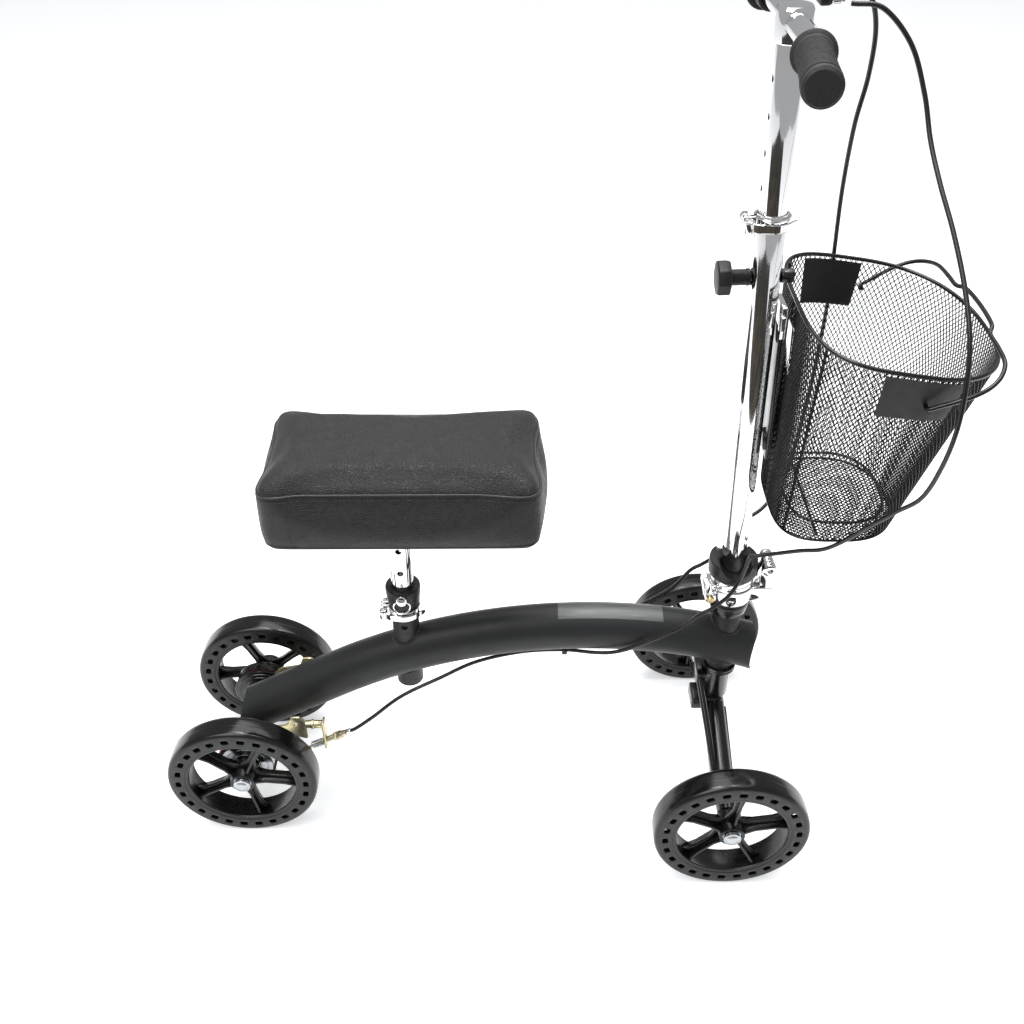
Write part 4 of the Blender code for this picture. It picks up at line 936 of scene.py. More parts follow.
def build_brake(side, sign):
    wheel, arm = f"rear_{side}_wheel", f"brake_arm_{side}"
    y = sign * BRAKE_Y
    axle = move(REAR.x, 0, WHEEL_R) @ ALONG_Y
    web = DRUM_OUT - 0.0030
    drum = [(0.0150, DRUM_IN), (0.0352, DRUM_IN), (0.0360, DRUM_IN + 0.0008), (0.0360, DRUM_OUT - 0.0008),
            (0.0352, DRUM_OUT), (0.0300, DRUM_OUT), (0.0294, DRUM_OUT - 0.0006), (0.0284, DRUM_OUT - 0.0006),
            (0.0278, DRUM_OUT), (0.0200, DRUM_OUT), (0.0194, DRUM_OUT - 0.0005), (0.0182, DRUM_OUT - 0.0005),
            (0.0176, DRUM_OUT), (0.0070, DRUM_OUT), (0.0070, web), (0.0320, web), (0.0320, DRUM_IN + 0.003),
            (0.0150, DRUM_IN + 0.003)]
    drum = at(turned([(r, sign * z) for r, z in drum], 72), axle)
    piece(f"drum_{side}", drum, "brushed_steel", wheel, [f"brake_drum_{side}"],
          joint_at(f"rear_{side}_spin"))

    place = move(REAR.x, sign * BAND_Y, WHEEL_R)
    lining = at(band_shell(BAND_R - 0.0015, BAND_R, 0.0060, 0), place)
    piece(f"lining_{side}", lining, "brake_lining", "frame", [f"brake_band_{side}"])
    strap = at(band_shell(BAND_R + 0.00005, BAND_R + 0.0010, 0.0065, 0), place)
    piece(f"strap_{side}", strap, "gloss_enamel", "frame")

    cover = [(0.0133, 0.0440), (0.0215, 0.0440), (0.0228, 0.0446), (0.0262, 0.0490), (0.0280, 0.0498),
             (0.0318, 0.0502),
             (0.0324, 0.0512), (0.0366, 0.0516), (0.0374, 0.0527), (0.0408, 0.0533), (0.0415, 0.0540),
             (0.0415, 0.0565),
             (0.0410, 0.0570), (0.0300, 0.0570), (0.0180, 0.0560), (0.0133, 0.0560)]
    cover = at(turned([(r, sign * z) for r, z in cover], 80), axle)
    piece(f"cover_{side}", cover, "gloss_enamel", "frame", [f"brake_cover_{side}"])

    x0, z0 = ARM_PIVOT.x, ARM_PIVOT.z
    hole = at(drill(0.0035, -0.02, 0.02, 32), move(x0 + 0.020, y, z0 + 0.027) @ ALONG_Y)
    face = carved(at(plate(bracket_outline(x0, z0), 0.0030, 0.0004), move(0, y, 0)), [hole])
    stop = block((0.003, 0.016, 0.048), (x0 + 0.0575, y, z0 + 0.008), 0.0010)
    stub = at(drill(0.0030, 0.0, sign * 0.0090, 28), move(x0, y, z0) @ ALONG_Y)
    boss = at(turned(rod(0.0055, 0, 0.024, 0.0006), 32), move(x0 + 0.033, y, z0 + 0.026) @ ALONG_X)
    collar = at(turned(sleeve(0.0066, 0.0050, 0.008, 0.012, 0.0004), 32),
                move(x0 + 0.033, y, z0 + 0.026) @ ALONG_X)
    piece(f"bracket_{side}", joined(face, stop, stub, boss, collar), "yellow_zinc", "frame",
          [f"brake_bracket_{side}"])

    tilt = Matrix.Rotation(math.atan2(CABLE_RUN.x, CABLE_RUN.z), 4, "Y")
    run = move(CABLE_START.x, y, CABLE_START.z) @ tilt
    thread = []
    for k in range(13):
        z = 0.0260 + 0.0016 * k
        thread += [(0.0038, z), (0.0043, z + 0.0008)]
    adjuster = [(0, 0.024), (0.0038, 0.024), *thread, (0.0038, 0.0470), (0.0055, 0.0472), (0.0057, 0.0480),
                (0.0057, 0.0525), (0.0052, 0.0532), (0.0042, 0.0535), (0.0040, 0.0600), (0, 0.0600)]
    piece(f"adjuster_{side}", at(turned(adjuster, 32), run), "yellow_zinc", "frame")
    nut = at(turned(rod(0.0064, 0.0415, 0.0455, 0.0004), 6), run)
    piece(f"adjuster_nut_{side}", nut, "yellow_zinc", "frame")
    spring = at(coil(0.0046, 0.0006, 9, 0.0185), run @ move(0, 0, 0.0045))
    piece(f"return_spring_{side}", spring, "brushed_steel", "frame")
    inner = at(turned(rod(0.0009, 0.0, 0.0245, 0.0002), 12), run)
    piece(f"inner_wire_{side}", inner, "brushed_steel", "frame")
    ferrule = at(turned(sleeve(0.0036, 0.0024, 0.0600, 0.0680, 0.0004), 28), run)
    piece(f"ferrule_{side}", ferrule, "chrome_plate", "frame")

    hook = [(x0 - 0.0062, z0 + 0.001), (x0 - 0.0045, z0 + 0.0046), (x0, z0 + 0.0064),
            (x0 + 0.0045, z0 + 0.0046),
            (x0 + 0.0065, z0 + 0.001), (x0 + 0.009, z0 - 0.006), (x0 + 0.024, z0 - 0.014),
            (CABLE_START.x + 0.003, CABLE_START.z + 0.004), (CABLE_START.x + 0.002, CABLE_START.z - 0.006),
            (CABLE_START.x - 0.001, CABLE_START.z - 0.008), (x0 + 0.014, z0 - 0.021),
            (x0 - 0.001, z0 - 0.014)]
    lever = at(plate(hook, 0.0030, 0.0004), move(0, sign * (BRAKE_Y + 0.0040), 0))
    hole = at(drill(0.0033, -0.09, 0.09, 28), move(x0, 0, z0) @ ALONG_Y)
    piece(f"arm_{side}", carved(lever, [hole]), "yellow_zinc", arm, [f"brake_arm_{side}"])
    nut = [(0, 0.0057), (0.0062, 0.0057), (0.0062, 0.0074), (0.0042, 0.0076), (0.0042, 0.0085), (0, 0.0090)]
    nut = at(turned([(r, sign * z) for r, z in nut], 6), move(x0, y, z0) @ ALONG_Y)
    piece(f"arm_nut_{side}", nut, "brushed_steel", arm)


# ------------------------------------------------------------------ quick-release clamps
def clamp_band(bore, outer, height, steps=80):
    half_gap = 0.0015
    start = math.asin(half_gap / outer)
    c = 0.0006
    low, high = -height / 2, height / 2
    rings = []
    for i in range(steps + 1):
        a = math.pi + start + (2 * math.pi - 2 * start) * i / steps
        out = Vector((math.cos(a), math.sin(a), 0))
        section = [(bore, low), (outer - c, low), (outer, low + c), (outer, high - c), (outer - c, high),
                   (bore, high)]
        rings.append([out * r + Vector((0, 0, z)) for r, z in section])
    return swept(rings)


def clamp_blade(radius, pivot, sweep, height, steps=36):
    """The lever's blade: it leaves the cam, wraps the near side and ends in a flared finger tab."""
    px, py = pivot
    first = math.atan2(py, px)
    start_r = math.hypot(px, py)
    rings = []
    for i in range(steps + 1):
        share = i / steps
        a = first + math.radians(sweep) * share
        r = start_r + (radius - start_r) * min(1.0, share * 3)
        flare = 0.004 * max(0.0, share - 0.85) / 0.15
        half = height / 2 * (1.0 - 0.25 * share)
        if share > 0.94:
            half *= math.sqrt(max(0.15, 1 - ((share - 0.94) / 0.062) ** 2))
        out = Vector((math.cos(a), math.sin(a), 0))
        inner, outer, c = r - 0.0012 + flare, r + 0.0012 + flare, 0.0005
        section = [(inner, -half + c), (inner + c, -half), (outer - c, -half), (outer, -half + c),
                   (outer, half - c),
                   (outer - c, half), (inner + c, half), (inner, half - c)]
        rings.append([out * q + Vector((0, 0, z)) for q, z in section])
    return swept(rings)


def build_clamp(name, node, body, lever_body, place, tube_r):
    """place puts the clamp's own frame in the row frame: Z up the tube, ears to the rear."""
    height, bore, outer = 0.014, tube_r + GAP, tube_r + 0.0032
    shells = [clamp_band(bore, outer, height)]
    for sign in (-1, 1):
        ear = block((0.013, 0.0040, height), (-outer - 0.004, sign * 0.0035, 0), 0.0012)
        shells.append(ear)
    bolt_x = -outer - 0.0055
    bolt = [(0, 0.0), (0.0030, 0.0), (0.0030, 0.0160), (0, 0.0160)]
    shells.append(at(turned(bolt, 28), move(bolt_x, -0.0035, 0), ALONG_Y))
    nut = turned([(0, 0.0158), (0.0046, 0.0158), (0.0053, 0.0163), (0.0053, 0.0198), (0.0044, 0.0206),
                  (0, 0.0206)], 6)
    shells.append(at(nut, move(bolt_x, -0.0035, 0), ALONG_Y))
    piece(f"{name}_band", at(joined(*shells), place), "chrome_plate", body, [node])
    blade = clamp_blade(outer + 0.0026, (bolt_x, -0.0125), 140, 0.0095)
    cam = at(turned(rod(0.0055, -0.0062, 0.0062, 0.0009), 40), move(bolt_x, -0.0125, 0))
    axle = at(turned(rod(0.0022, -0.0070, 0.0070, 0.0005), 20), move(bolt_x, -0.0125, 0))
    piece(f"{name}_blade", at(joined(blade, cam, axle), place), "chrome_plate", lever_body,
          [f"{node}_lever"])


# ------------------------------------------------------------------ seat
PLATE_LOW, PLATE_HIGH = box("pad_plate")
PAD_LOW, PAD_HIGH = box("knee_pad")
THREAD_R = 0.00045
SEAT_PIN_Z = sum(box("seat_pin"), Vector()).z / 2


def build_seat_hardware():
    low, high = box("seat_collar")
    mouth = box("seat_tube")[1].z + GAP
    top = high.z
    profile = [(POST_IN_SEAT_R + GAP, low.z), (0.0153, low.z), (0.0153, mouth), (0.0198, mouth),
               (0.0207, mouth + 0.0008),
               (0.0213, 0.340), (0.0221, 0.345), (0.0225, 0.350), (0.0225, top - 0.003),
               (0.0221, top - 0.001),
               (0.0212, top), (POST_IN_SEAT_R + GAP, top)]
    collar = at(turned(profile, 64), move(SEAT_X, 0, 0))
    cuts = [
        at(drill(0.0300, -0.05, 0.05, 80), move(SEAT_X, 0, 0.3862) @ ALONG_Y),
        at(drill(0.0042, -0.03, 0.0, 28), move(SEAT_X, 0, SEAT_PIN_Z) @ ALONG_Y),
    ]
    piece("collar", carved(collar, cuts, soften=0.0008), "moulded_nylon", "frame", ["seat_collar"])
    clamp_at = joint_at("seat_clamp_lever_open").z
    build_clamp("seat_clamp", "seat_clamp", "frame", "seat_clamp_lever", move(SEAT_X, 0, clamp_at), SEAT_R)

    pin = [(0, -0.0147), (0.0033, -0.0147), (0.0036, -0.0150), (0.0036, -0.0230), (0.0056, -0.0232),
           (0.0064, -0.0240),
           (0.0066, -0.0276), (0.0058, -0.0296), (0.0040, -0.0307), (0, -0.0311)]
    pin = at(turned(pin, 40), move(SEAT_X, 0, SEAT_PIN_Z) @ ALONG_Y)
    ring = [(0.0105 * math.cos(a), 0.0006 * math.cos(2 * a),
             0.0098 * math.sin(a) - 0.0098) for a in around(48)]
    ring = at(bar(ring, 0.0010, 10, closed=True), move(SEAT_X, -0.0262, SEAT_PIN_Z))
    piece("spring_pin", joined(pin, ring), "chrome_plate", "seat_pin", ["seat_pin"])


def build_seat_post():
    low, high = box("seat_post")
    tube = at(turned(sleeve(POST_IN_SEAT_R, POST_IN_SEAT_R - 0.0017, low.z, high.z, 0.0004), 56),
              move(SEAT_X, 0, 0))
    cuts = []
    for k in range(5):
        z = SEAT_PIN_Z + 0.036 * (k - 1)
        cuts.append(at(drill(0.0040, -0.03, 0.0, 28), move(SEAT_X, 0, z) @ ALONG_Y))
    piece("seat_pillar", carved(tube, [joined(*cuts)]), "chrome_plate", "seat", ["seat_post"])

    size = PLATE_HIGH - PLATE_LOW
    middle = (PLATE_HIGH + PLATE_LOW) / 2
    board = block(size, middle, 0.0018)
    rim = [block((size.x - 0.03, 0.004, 0.0035), middle + Vector((0, s * (size.y / 2 - 0.010), -0.0034)),
                 0.001)
           for s in (-1, 1)]
    socket = at(turned([(0.0146, high.z - 0.020), (0.0165, high.z - 0.020), (0.0172, high.z - 0.018),
                        (0.0178, high.z - 0.004), (0.0235, high.z - 0.0012), (0.0235, high.z),
                        (0.0146, high.z)], 56),
                move(SEAT_X, 0, 0))
    piece("seat_board", joined(board, *rim, socket), "gloss_enamel", "seat", ["pad_plate"])
    screws = []
    for x in (-0.092, 0.092):
        for y in (-0.040, 0.040):
            head = turned([(0, -0.0036), (0.0026, -0.0036), (0.0044, -0.0022), (0.0050, 0.0), (0, 0.0)], 28)
            screws.append(at(head, move(middle.x + x, y, PLATE_LOW.z)))
    piece("seat_screws", joined(*screws), "chrome_plate", "seat")


def pad_shape(grow):
    """A rounded block with a crowned top, its sides drawn in at the middle of each long side."""
    low, high = PAD_LOW, PAD_HIGH
    size = (high - low) + Vector((2 * grow, 2 * grow, grow))
    middle = (high + low) / 2 + Vector((0, 0, grow / 2))
    bm = bmesh.new()
    bmesh.ops.create_cube(bm, size=1.0)
    bmesh.ops.scale(bm, vec=size, verts=bm.verts)
    upright = [e for e in bm.edges if abs(e.verts[0].co.z - e.verts[1].co.z) > 0.01]
    bmesh.ops.bevel(bm, geom=upright, offset=0.018, segments=8, affect="EDGES", profile=0.5)
    top = [e for e in bm.edges if min(v.co.z for v in e.verts) > 0.01]
    bmesh.ops.bevel(bm, geom=top, offset=0.011, segments=5, affect="EDGES", profile=0.5)
    bottom = [e for e in bm.edges if max(v.co.z for v in e.verts) < -size.z / 2 + 1e-5]
    bmesh.ops.bevel(bm, geom=bottom, offset=0.008, segments=4, affect="EDGES", profile=0.5)
    bmesh.ops.translate(bm, vec=middle, verts=bm.verts)
    mesh = bpy.data.meshes.new("pad")
    bmesh.ops.recalc_face_normals(bm, faces=bm.faces)
    bm.to_mesh(mesh)
    bm.free()
    return mesh


def bake(made):
    """The object's evaluated mesh in place of its own, with no modifiers left."""
    bpy.context.view_layer.update()
    evaluated = made.evaluated_get(bpy.context.evaluated_depsgraph_get())
    mesh = bpy.data.meshes.new_from_object(evaluated)
    made.modifiers.clear()
    made.data = mesh
    return made


def padded_mesh():
    """Foam and vinyl: blown up a little by a cloth simulation, then held to its room."""
    made = bpy.data.objects.new("pad", pad_shape(-0.001))
    bpy.context.scene.collection.objects.link(made)
    remesh = made.modifiers.new("voxels", "REMESH")
    remesh.mode, remesh.voxel_size = "VOXEL", 0.005
    bake(made)
    before = [v.co.copy() for v in made.data.vertices]
    cloth = made.modifiers.new("cloth", "CLOTH")
    cloth.settings.quality = 5
    cloth.settings.use_pressure = True
    cloth.settings.uniform_pressure_force = 3.0
    cloth.settings.tension_stiffness = 18
    cloth.settings.compression_stiffness = 18
    cloth.settings.bending_stiffness = 0.6
    cloth.settings.effector_weights.gravity = 0.0
    held = made.vertex_groups.new(name="held")
    base = [i for i, p in enumerate(before) if p.z < PAD_LOW.z + 0.008]
    held.add(base, 1.0, "REPLACE")
    cloth.settings.vertex_group_mass = "held"
    for number in range(1, 21):
        bpy.context.scene.frame_set(number)
    bake(made)
    bpy.context.scene.frame_set(1)
    cap, middle = 0.008, (PAD_LOW + PAD_HIGH) / 2
    for vertex, start in zip(made.data.vertices, before):
        shift = vertex.co - start
        if shift.length > cap:
            shift *= cap / shift.length
        spot = start + shift
        across = (spot.x - middle.x) / (PAD_HIGH.x - PAD_LOW.x) * 2
        along = (spot.y - middle.y) / (PAD_HIGH.y - PAD_LOW.y) * 2
        if spot.z > middle.z:
            spot.z += 0.0030 * (1 - min(1, across**2)) * (1 - min(1, along**2))
        tuck = 1 - min(1.0, abs(spot.z - (PAD_LOW.z + 0.006)) / 0.012)
        spot.x -= 0.003 * tuck * across
        spot.y -= 0.003 * tuck * along
        vertex.co = spot
    smooth = made.modifiers.new("even", "SMOOTH")
    smooth.factor, smooth.iterations = 0.5, 14
    fine = made.modifiers.new("fine", "SUBSURF")
    fine.levels = fine.render_levels = 1
    bake(made)
    mesh = made.data
    bpy.data.objects.remove(made)
    return mesh


def on_pad(tree, x, y, z, lift=0.0):
    """The point of the pad's side wall seen from (x, y) outwards of its middle, at height z."""
    middle = Vector(((PAD_LOW.x + PAD_HIGH.x) / 2, 0, z))
    out = Vector((x, y, 0)).normalized()
    hit, normal, _, _ = tree.ray_cast(middle + out * 0.5, -out)
    return hit + normal * lift


def build_pad():
    mesh = padded_mesh()
    bm = bmesh.new()
    bm.from_mesh(mesh)
    tree = BVHTree.FromBMesh(bm)
    bm.free()
    mesh.shade_smooth()
    cushion = piece("cushion", mesh, "grained_vinyl", "seat", ["knee_pad"])
    half = (PAD_HIGH - PAD_LOW) / 2

    def rim(z, lift, count=220):
        """Round the pad at one height, by even turns of a rounded rectangle."""
        return [on_pad(tree, half.x * squared(math.cos(a), 0.62), half.y * squared(math.sin(a), 0.62), z,
                       lift)
                for a in around(count)]

    seam = PAD_HIGH.z - 0.0135
    piece("pad_piping", bar(rim(seam, -0.0002), 0.0015, 10, closed=True), "piping_vinyl", "seat")
    piece("pad_hem", bar(rim(PAD_LOW.z + 0.0100, -0.0002), 0.0011, 8, closed=True), "piping_vinyl", "seat")

    threads = []
    loop = rim(seam - 0.0052, 0.0002, 420)
    for a, b in zip(loop[::2], loop[1::2]):
        threads.append(bar([a, a.lerp(b, 1.25)], THREAD_R, 6))
    for x, y in ((0.118, -0.088), (0.126, -0.088), (-0.122, -0.088), (0.118, 0.088), (-0.122, 0.088)):
        steps = 26
        line = [on_pad(tree, x, y, PAD_LOW.z + 0.012 + (seam - PAD_LOW.z - 0.016) * k / steps, 0.0001)
                for k in range(steps + 1)]
        for a, b in zip(line[::2], line[1::2]):
            threads.append(bar([a, b], THREAD_R, 6))
    piece("pad_stitches", joined(*threads), "piping_vinyl", "seat")


# ------------------------------------------------------------------ fork and fold
def build_fork():
    cup = box("headset_lower")[0].z - GAP
    top = box("steerer")[1].z
    crown = [(0, 0.158), (0.0146, 0.158), (0.0156, 0.1585), (0.0160, 0.1600), (0.0160, cup - 0.0040),
             (0.0168, cup - 0.0022),
             (0.0185, cup - 0.0006), (0.0185, cup), (0.0127, cup), (0.0127, top), (0, top)]
    piece("crown", at(turned(crown, 64), move(STEER.x, 0, 0)), "gloss_enamel", "fork", ["steerer"])

    inner = abs(FRONT.y) - WHEEL_HALF
    near = [(STEER.x, -inner + 0.004, WHEEL_R), (STEER.x, -0.140, WHEEL_R + 0.0007),
            (STEER.x, -0.128, WHEEL_R + 0.002),
            (STEER.x, -0.112, WHEEL_R + 0.009), (STEER.x, -0.020, 0.1405), (STEER.x, 0.0, 0.1440)]
    route = near + [(x, -y, z) for x, y, z in near[-2::-1]]
    tube = bar(smooth_path(route, 90), 0.0135, 40, round_ends=False)
    gusset = [(-0.006, 0.1570), (0.006, 0.1570), (0.052, 0.137), (0.128, 0.100), (0.112, 0.096),
              (0.0, 0.1300),
              (-0.112, 0.096), (-0.128, 0.100), (-0.052, 0.137)]
    gusset = at(plate(gusset, 0.004, 0.0006), move(STEER.x - 0.0125, 0, 0), turn(90, "Z"))
    seat = block((0.042, 0.034, 0.020), (STEER.x - 0.012, 0, 0.1475), 0.003)
    flutes = []
    for sign in (-1, 1):
        path = [(STEER.x + 0.0132, sign * 0.122, 0.1035), (STEER.x + 0.0132, sign * 0.105, 0.1100),
                (STEER.x + 0.0132, sign * 0.018, 0.1430)]
        flutes.append(bar(path, 0.0022, 12))
    tab = block((0.014, 0.034, 0.016), (STEER.x - 0.0236, 0, 0.1985), 0.002)
    braces = []
    for sign in (-1, 1):
        route = [(STEER.x - 0.0270, sign * 0.010, 0.1980), (STEER.x - 0.0175, sign * 0.070, 0.1500),
                 (STEER.x - 0.0090, sign * 0.124, 0.1040)]
        braces.append(bar(smooth_path(route, 24), 0.0044, 20))
    piece("front_beam", joined(tube, gusset, seat, tab, *flutes, *braces), "gloss_enamel", "fork",
          ["axle_beam"])

    place = move(STEER.x, 0, WHEEL_R) @ ALONG_Y
    face = abs(FRONT.y) + WHEEL_HALF
    for side, sign in (("right", -1), ("left", 1)):
        bolt = [(0, sign * 0.126), (0.0060, sign * 0.126)] + cap_profile(face, sign)
        piece(f"front_bolt_{side}", at(turned(bolt, 48), place), "brushed_steel", "fork",
              [f"axle_bolt_{side}"])


def build_yoke():
    z0, top = box("fold_yoke")[0].z, YOKE_TOP
    bowl = [(0, z0), (0.0220, z0), (0.0236, z0 + 0.0006), (0.0252, z0 + 0.0022), (0.0264, z0 + 0.0060),
            (0.0274, z0 + 0.0140),
            (0.0280, top - 0.0060), (0.0280, top - 0.0018), (0.0276, top - 0.0006), (0.0268, top), (0, top)]
    shells = [at(turned(bowl, 72), move(STEER.x, 0, 0))]
    pin_x, pin_z = FOLD_PIN.x, FOLD_PIN.z
    tongue = [(STEER.x + 0.010, 0.3390), (pin_x - 0.001, 0.3395), (pin_x + 0.0060, 0.3425),
              (pin_x + 0.0095, 0.3490),
              (pin_x + 0.0095, top - 0.001), (STEER.x + 0.010, top - 0.001)]
    shells.append(plate(tongue, 0.030, 0.0015))
    for sign in (-1, 1):
        ear = [(pin_x - 0.0090, top - 0.010), (pin_x + 0.0090, top - 0.010)]
        ear += [(pin_x + 0.0090 * math.cos(math.pi * k / 20),
                 pin_z + 0.0090 * math.sin(math.pi * k / 20)) for k in range(21)]
        shells.append(at(plate(ear, 0.0055, 0.0008), move(0, sign * 0.0118, 0)))
    shells.append(block((0.024, 0.034, 0.014), (LATCH.x + 0.005, 0, LATCH.z), 0.003))
    piece("yoke_bowl", joined(*shells), "chrome_plate", "fork", ["fold_yoke"])
    pin = [(0, -0.0146), (0.0036, -0.0146), (0.0036, 0.0148),
           (0.0060, 0.0150), (0.0058, 0.0172), (0.0046, 0.0178), (0, 0.0178)]
    piece("fold_bolt", at(turned(pin, 40), move(pin_x, 0, pin_z) @ ALONG_Y), "brushed_steel", "fork")
    screw = [(0, -0.0150), (0.0030, -0.0150), (0.0030, -0.0265), (0.0044, -0.0265), (0.0048, -0.0270),
             (0.0048, -0.0288),
             (0.0040, -0.0299), (0, -0.0302)]
    place = move(LATCH.x, 0, LATCH.z)
    screw = at(turned(screw, 36), place @ ALONG_Y)
    slot = block((0.0012, 0.0016, 0.0080), (LATCH.x, -0.0302, LATCH.z), 0)
    piece("latch_screw", carved(screw, [slot]), "brass_screw", "fork")

    eye = at(turned(sleeve(0.0070, 0.0033, -0.0262, -0.0174, 0.0007), 48), place @ ALONG_Y)
    rings = []
    for i in range(25):
        share = i / 24
        z = 0.004 + 0.0345 * share
        w = 0.0031 + 0.0006 * math.sin(math.pi * share)
        x = 0.0016 * math.sin(math.pi * share * 1.6) * share
        d = 0.0041 * (1 if share < 0.93 else math.sqrt(max(0.1, 1 - ((share - 0.93) / 0.075) ** 2)))
        turns = [2 * math.pi * (k + 0.5) / 16 for k in range(16)]
        rings.append([(x + w * squared(math.cos(a), 0.6), -0.0218 + d * squared(math.sin(a), 0.6),
                       z) for a in turns])
    blade = at(swept(rings), place, turn(-14, "Y"))
    piece("latch", joined(eye, blade), "chrome_plate", "fold_lever", ["fold_lever"])


def build_socket():
    """The chrome knuckle on the fold pin and the black saddle on it, drawn in the stem's frame."""
    pin = Vector((FOLD_PIN.x - STEM_FOOT.x, 0, FOLD_PIN.z - STEM_FOOT.z))
    top = KNUCKLE_TOP
    body = [(0, 0.0192), (0.0258, 0.0192), (0.0272, 0.0198), (0.0275, 0.0210), (0.0275, 0.0250),
            (0.0268, 0.0258),
            (0.0268, 0.0268), (0.0275, 0.0276), (0.0275, top - 0.0016), (0.0268, top - 0.0004),
            (0.0260, top), (0, top)]
    lug = [(0.010, 0.0205), (pin.x - 0.001, 0.0205), (pin.x + 0.007, 0.0300)]
    for k in range(25):
        a = math.radians(-30 + 210 * k / 24)
        lug.append((pin.x + 0.0085 * math.cos(a), pin.z + 0.0085 * math.sin(a)))
    lug += [(0.0290, 0.0400), (0.0290, 0.0320), (0.010, 0.0320)]
    cuts = [
        at(drill(0.0039, -0.03, 0.03, 32), LEVEL, move(pin.x, 0, pin.z), ALONG_Y),
        at(block((0.140, 0.070, 0.020), (0.0, 0, YOKE_TOP - STEM_FOOT.z + 0.0008 - 0.010), 0), LEVEL),
    ]
    mesh = carved(carved(turned(body, 72), added=[at(plate(lug, 0.0174, 0.0008), LEVEL)]), cuts)
    piece("knuckle", at(mesh, STEM), "chrome_plate", "stem", ["stem_knuckle"])

    low, high = top + GAP, 0.0572
    ring = [(0.0162, low), (0.0284, low), (0.0296, low + 0.0006), (0.0303, low + 0.0020), (0.0306, 0.0450),
            (0.0303, 0.0540),
            (0.0299, 0.0562), (0.0290, high), (0.0162, high)]
    cuts = [
        at(drill(0.0205, -0.05, 0.05, 72), move(0, 0, 0.0640), ALONG_Y),
        at(block((0.030, 0.080, 0.140), (0.0425, 0, 0.040), 0), LEVEL),
    ]
    mesh = carved(turned(ring, 96), cuts, soften=0.0011)
    piece("socket", at(mesh, STEM), "moulded_nylon", "stem", ["stem_socket"])


def build_fold_barrel():
    """The round nut on the near end of the fold pin, with its hexagon key hole."""
    outer = turned([(0, -0.0205), (0.0078, -0.0205), (0.0090, -0.0198), (0.0094, -0.0184), (0.0094, -0.0150),
                    (0.0088, -0.0147), (0, -0.0147)], 56)
    key = drill(0.0042, -0.0300, -0.0170, 6)
    nut = carved(outer, [key])
    piece("fold_barrel", at(nut, move(FOLD_PIN.x, 0, FOLD_PIN.z), ALONG_Y), "chrome_plate", "fork")


# ------------------------------------------------------------------ stem, handlebar
STEM_R, POST_R = 0.0159, 0.0143
STEM_TOP = 0.510
KNOB_AT = (joint_at("thumb_knob_turn") - STEM_FOOT).dot(STEM_UP)
POST_LOW, POST_TOP = 0.330, 0.672
BAR_AT = 0.690
BAR_R = 0.0111
BEND_Y, HALF_BAR = 0.070, 0.2135
SWEEP, RISE = 0.16, 0.05
GRIP_R = 0.0165


def build_stem():
    tube = turned(sleeve(STEM_R, 0.0146, KNUCKLE_TOP + GAP, STEM_TOP, 0.0004), 64)
    cuts = [
        at(drill(0.0050, -0.03, 0.0, 32), move(0, 0, KNOB_AT), ALONG_X),
        block((0.010, 0.0022, 0.034), (-STEM_R, 0, STEM_TOP - 0.010), 0),
    ]
    piece("stem_lower", at(carved(tube, cuts), STEM), "chrome_plate", "stem", ["stem_tube"])
    build_clamp("stem_clamp", "stem_clamp", "stem", "stem_clamp_lever", STEM @ move(0, 0, STEM_TOP - 0.0095),
                STEM_R)

    turn_out = STEM @ move(0, 0, KNOB_AT) @ turn(-90, "Y")
    shank = [(0, 0.0155), (0.0042, 0.0155), (0.0042, 0.0163), (0.0085, 0.0164), (0.0090, 0.0172),
             (0.0090, 0.0200),
             (0.0084, 0.0206), (0.0084, 0.0355), (0.0095, 0.0372), (0, 0.0372)]
    head = turned([(0, 0.0368), (0.0172, 0.0370), (0.0188, 0.0384), (0.0190, 0.0400), (0.0190, 0.0492),
                   (0.0180, 0.0508),
                   (0.0120, 0.0520), (0, 0.0524)], 8)
    head.shade_flat()
    knob = at(joined(turned(shank, 48), carved(head, soften=0.0016)), turn_out)
    piece("knob", knob, "moulded_nylon", "thumb_knob", ["thumb_knob"])

    low, high = 0.215, 0.405
    shells = [block((0.0035, 0.030, high - low), (0.0215, 0, (low + high) / 2), 0.0012)]
    for z in (0.235, 0.375):
        shells.append(block((0.006, 0.022, 0.018), (0.0200, 0, z), 0.001))
    stub = at(turned(rod(0.0075, 0.0160, 0.0290, 0.0012), 40), move(0, 0, KNOB_AT), ALONG_X)
    piece("basket_rail", at(joined(*shells, stub), STEM), "gloss_enamel", "stem", ["basket_bracket"])


BAR_RUN = Vector((-SWEEP, 1, RISE)).normalized()
BEND = 0.022


def bar_path():
    """The handlebar's middle line: straight, then swept back and up on each side."""
    corner = Vector((0, BEND_Y, 0))
    half = [Vector((0, 0, 0)), Vector((0, BEND_Y - BEND, 0))]
    for k in range(1, 9):
        t = k / 8
        a = Vector((0, BEND_Y - BEND, 0)).lerp(corner, t)
        b = corner.lerp(corner + BAR_RUN * BEND, t)
        half.append(a.lerp(b, t))
    half.append(half[-1] + BAR_RUN * ((HALF_BAR - half[-1].y) / BAR_RUN.y))
    return [Vector((p.x, -p.y, p.z)) for p in half[:0:-1]] + half


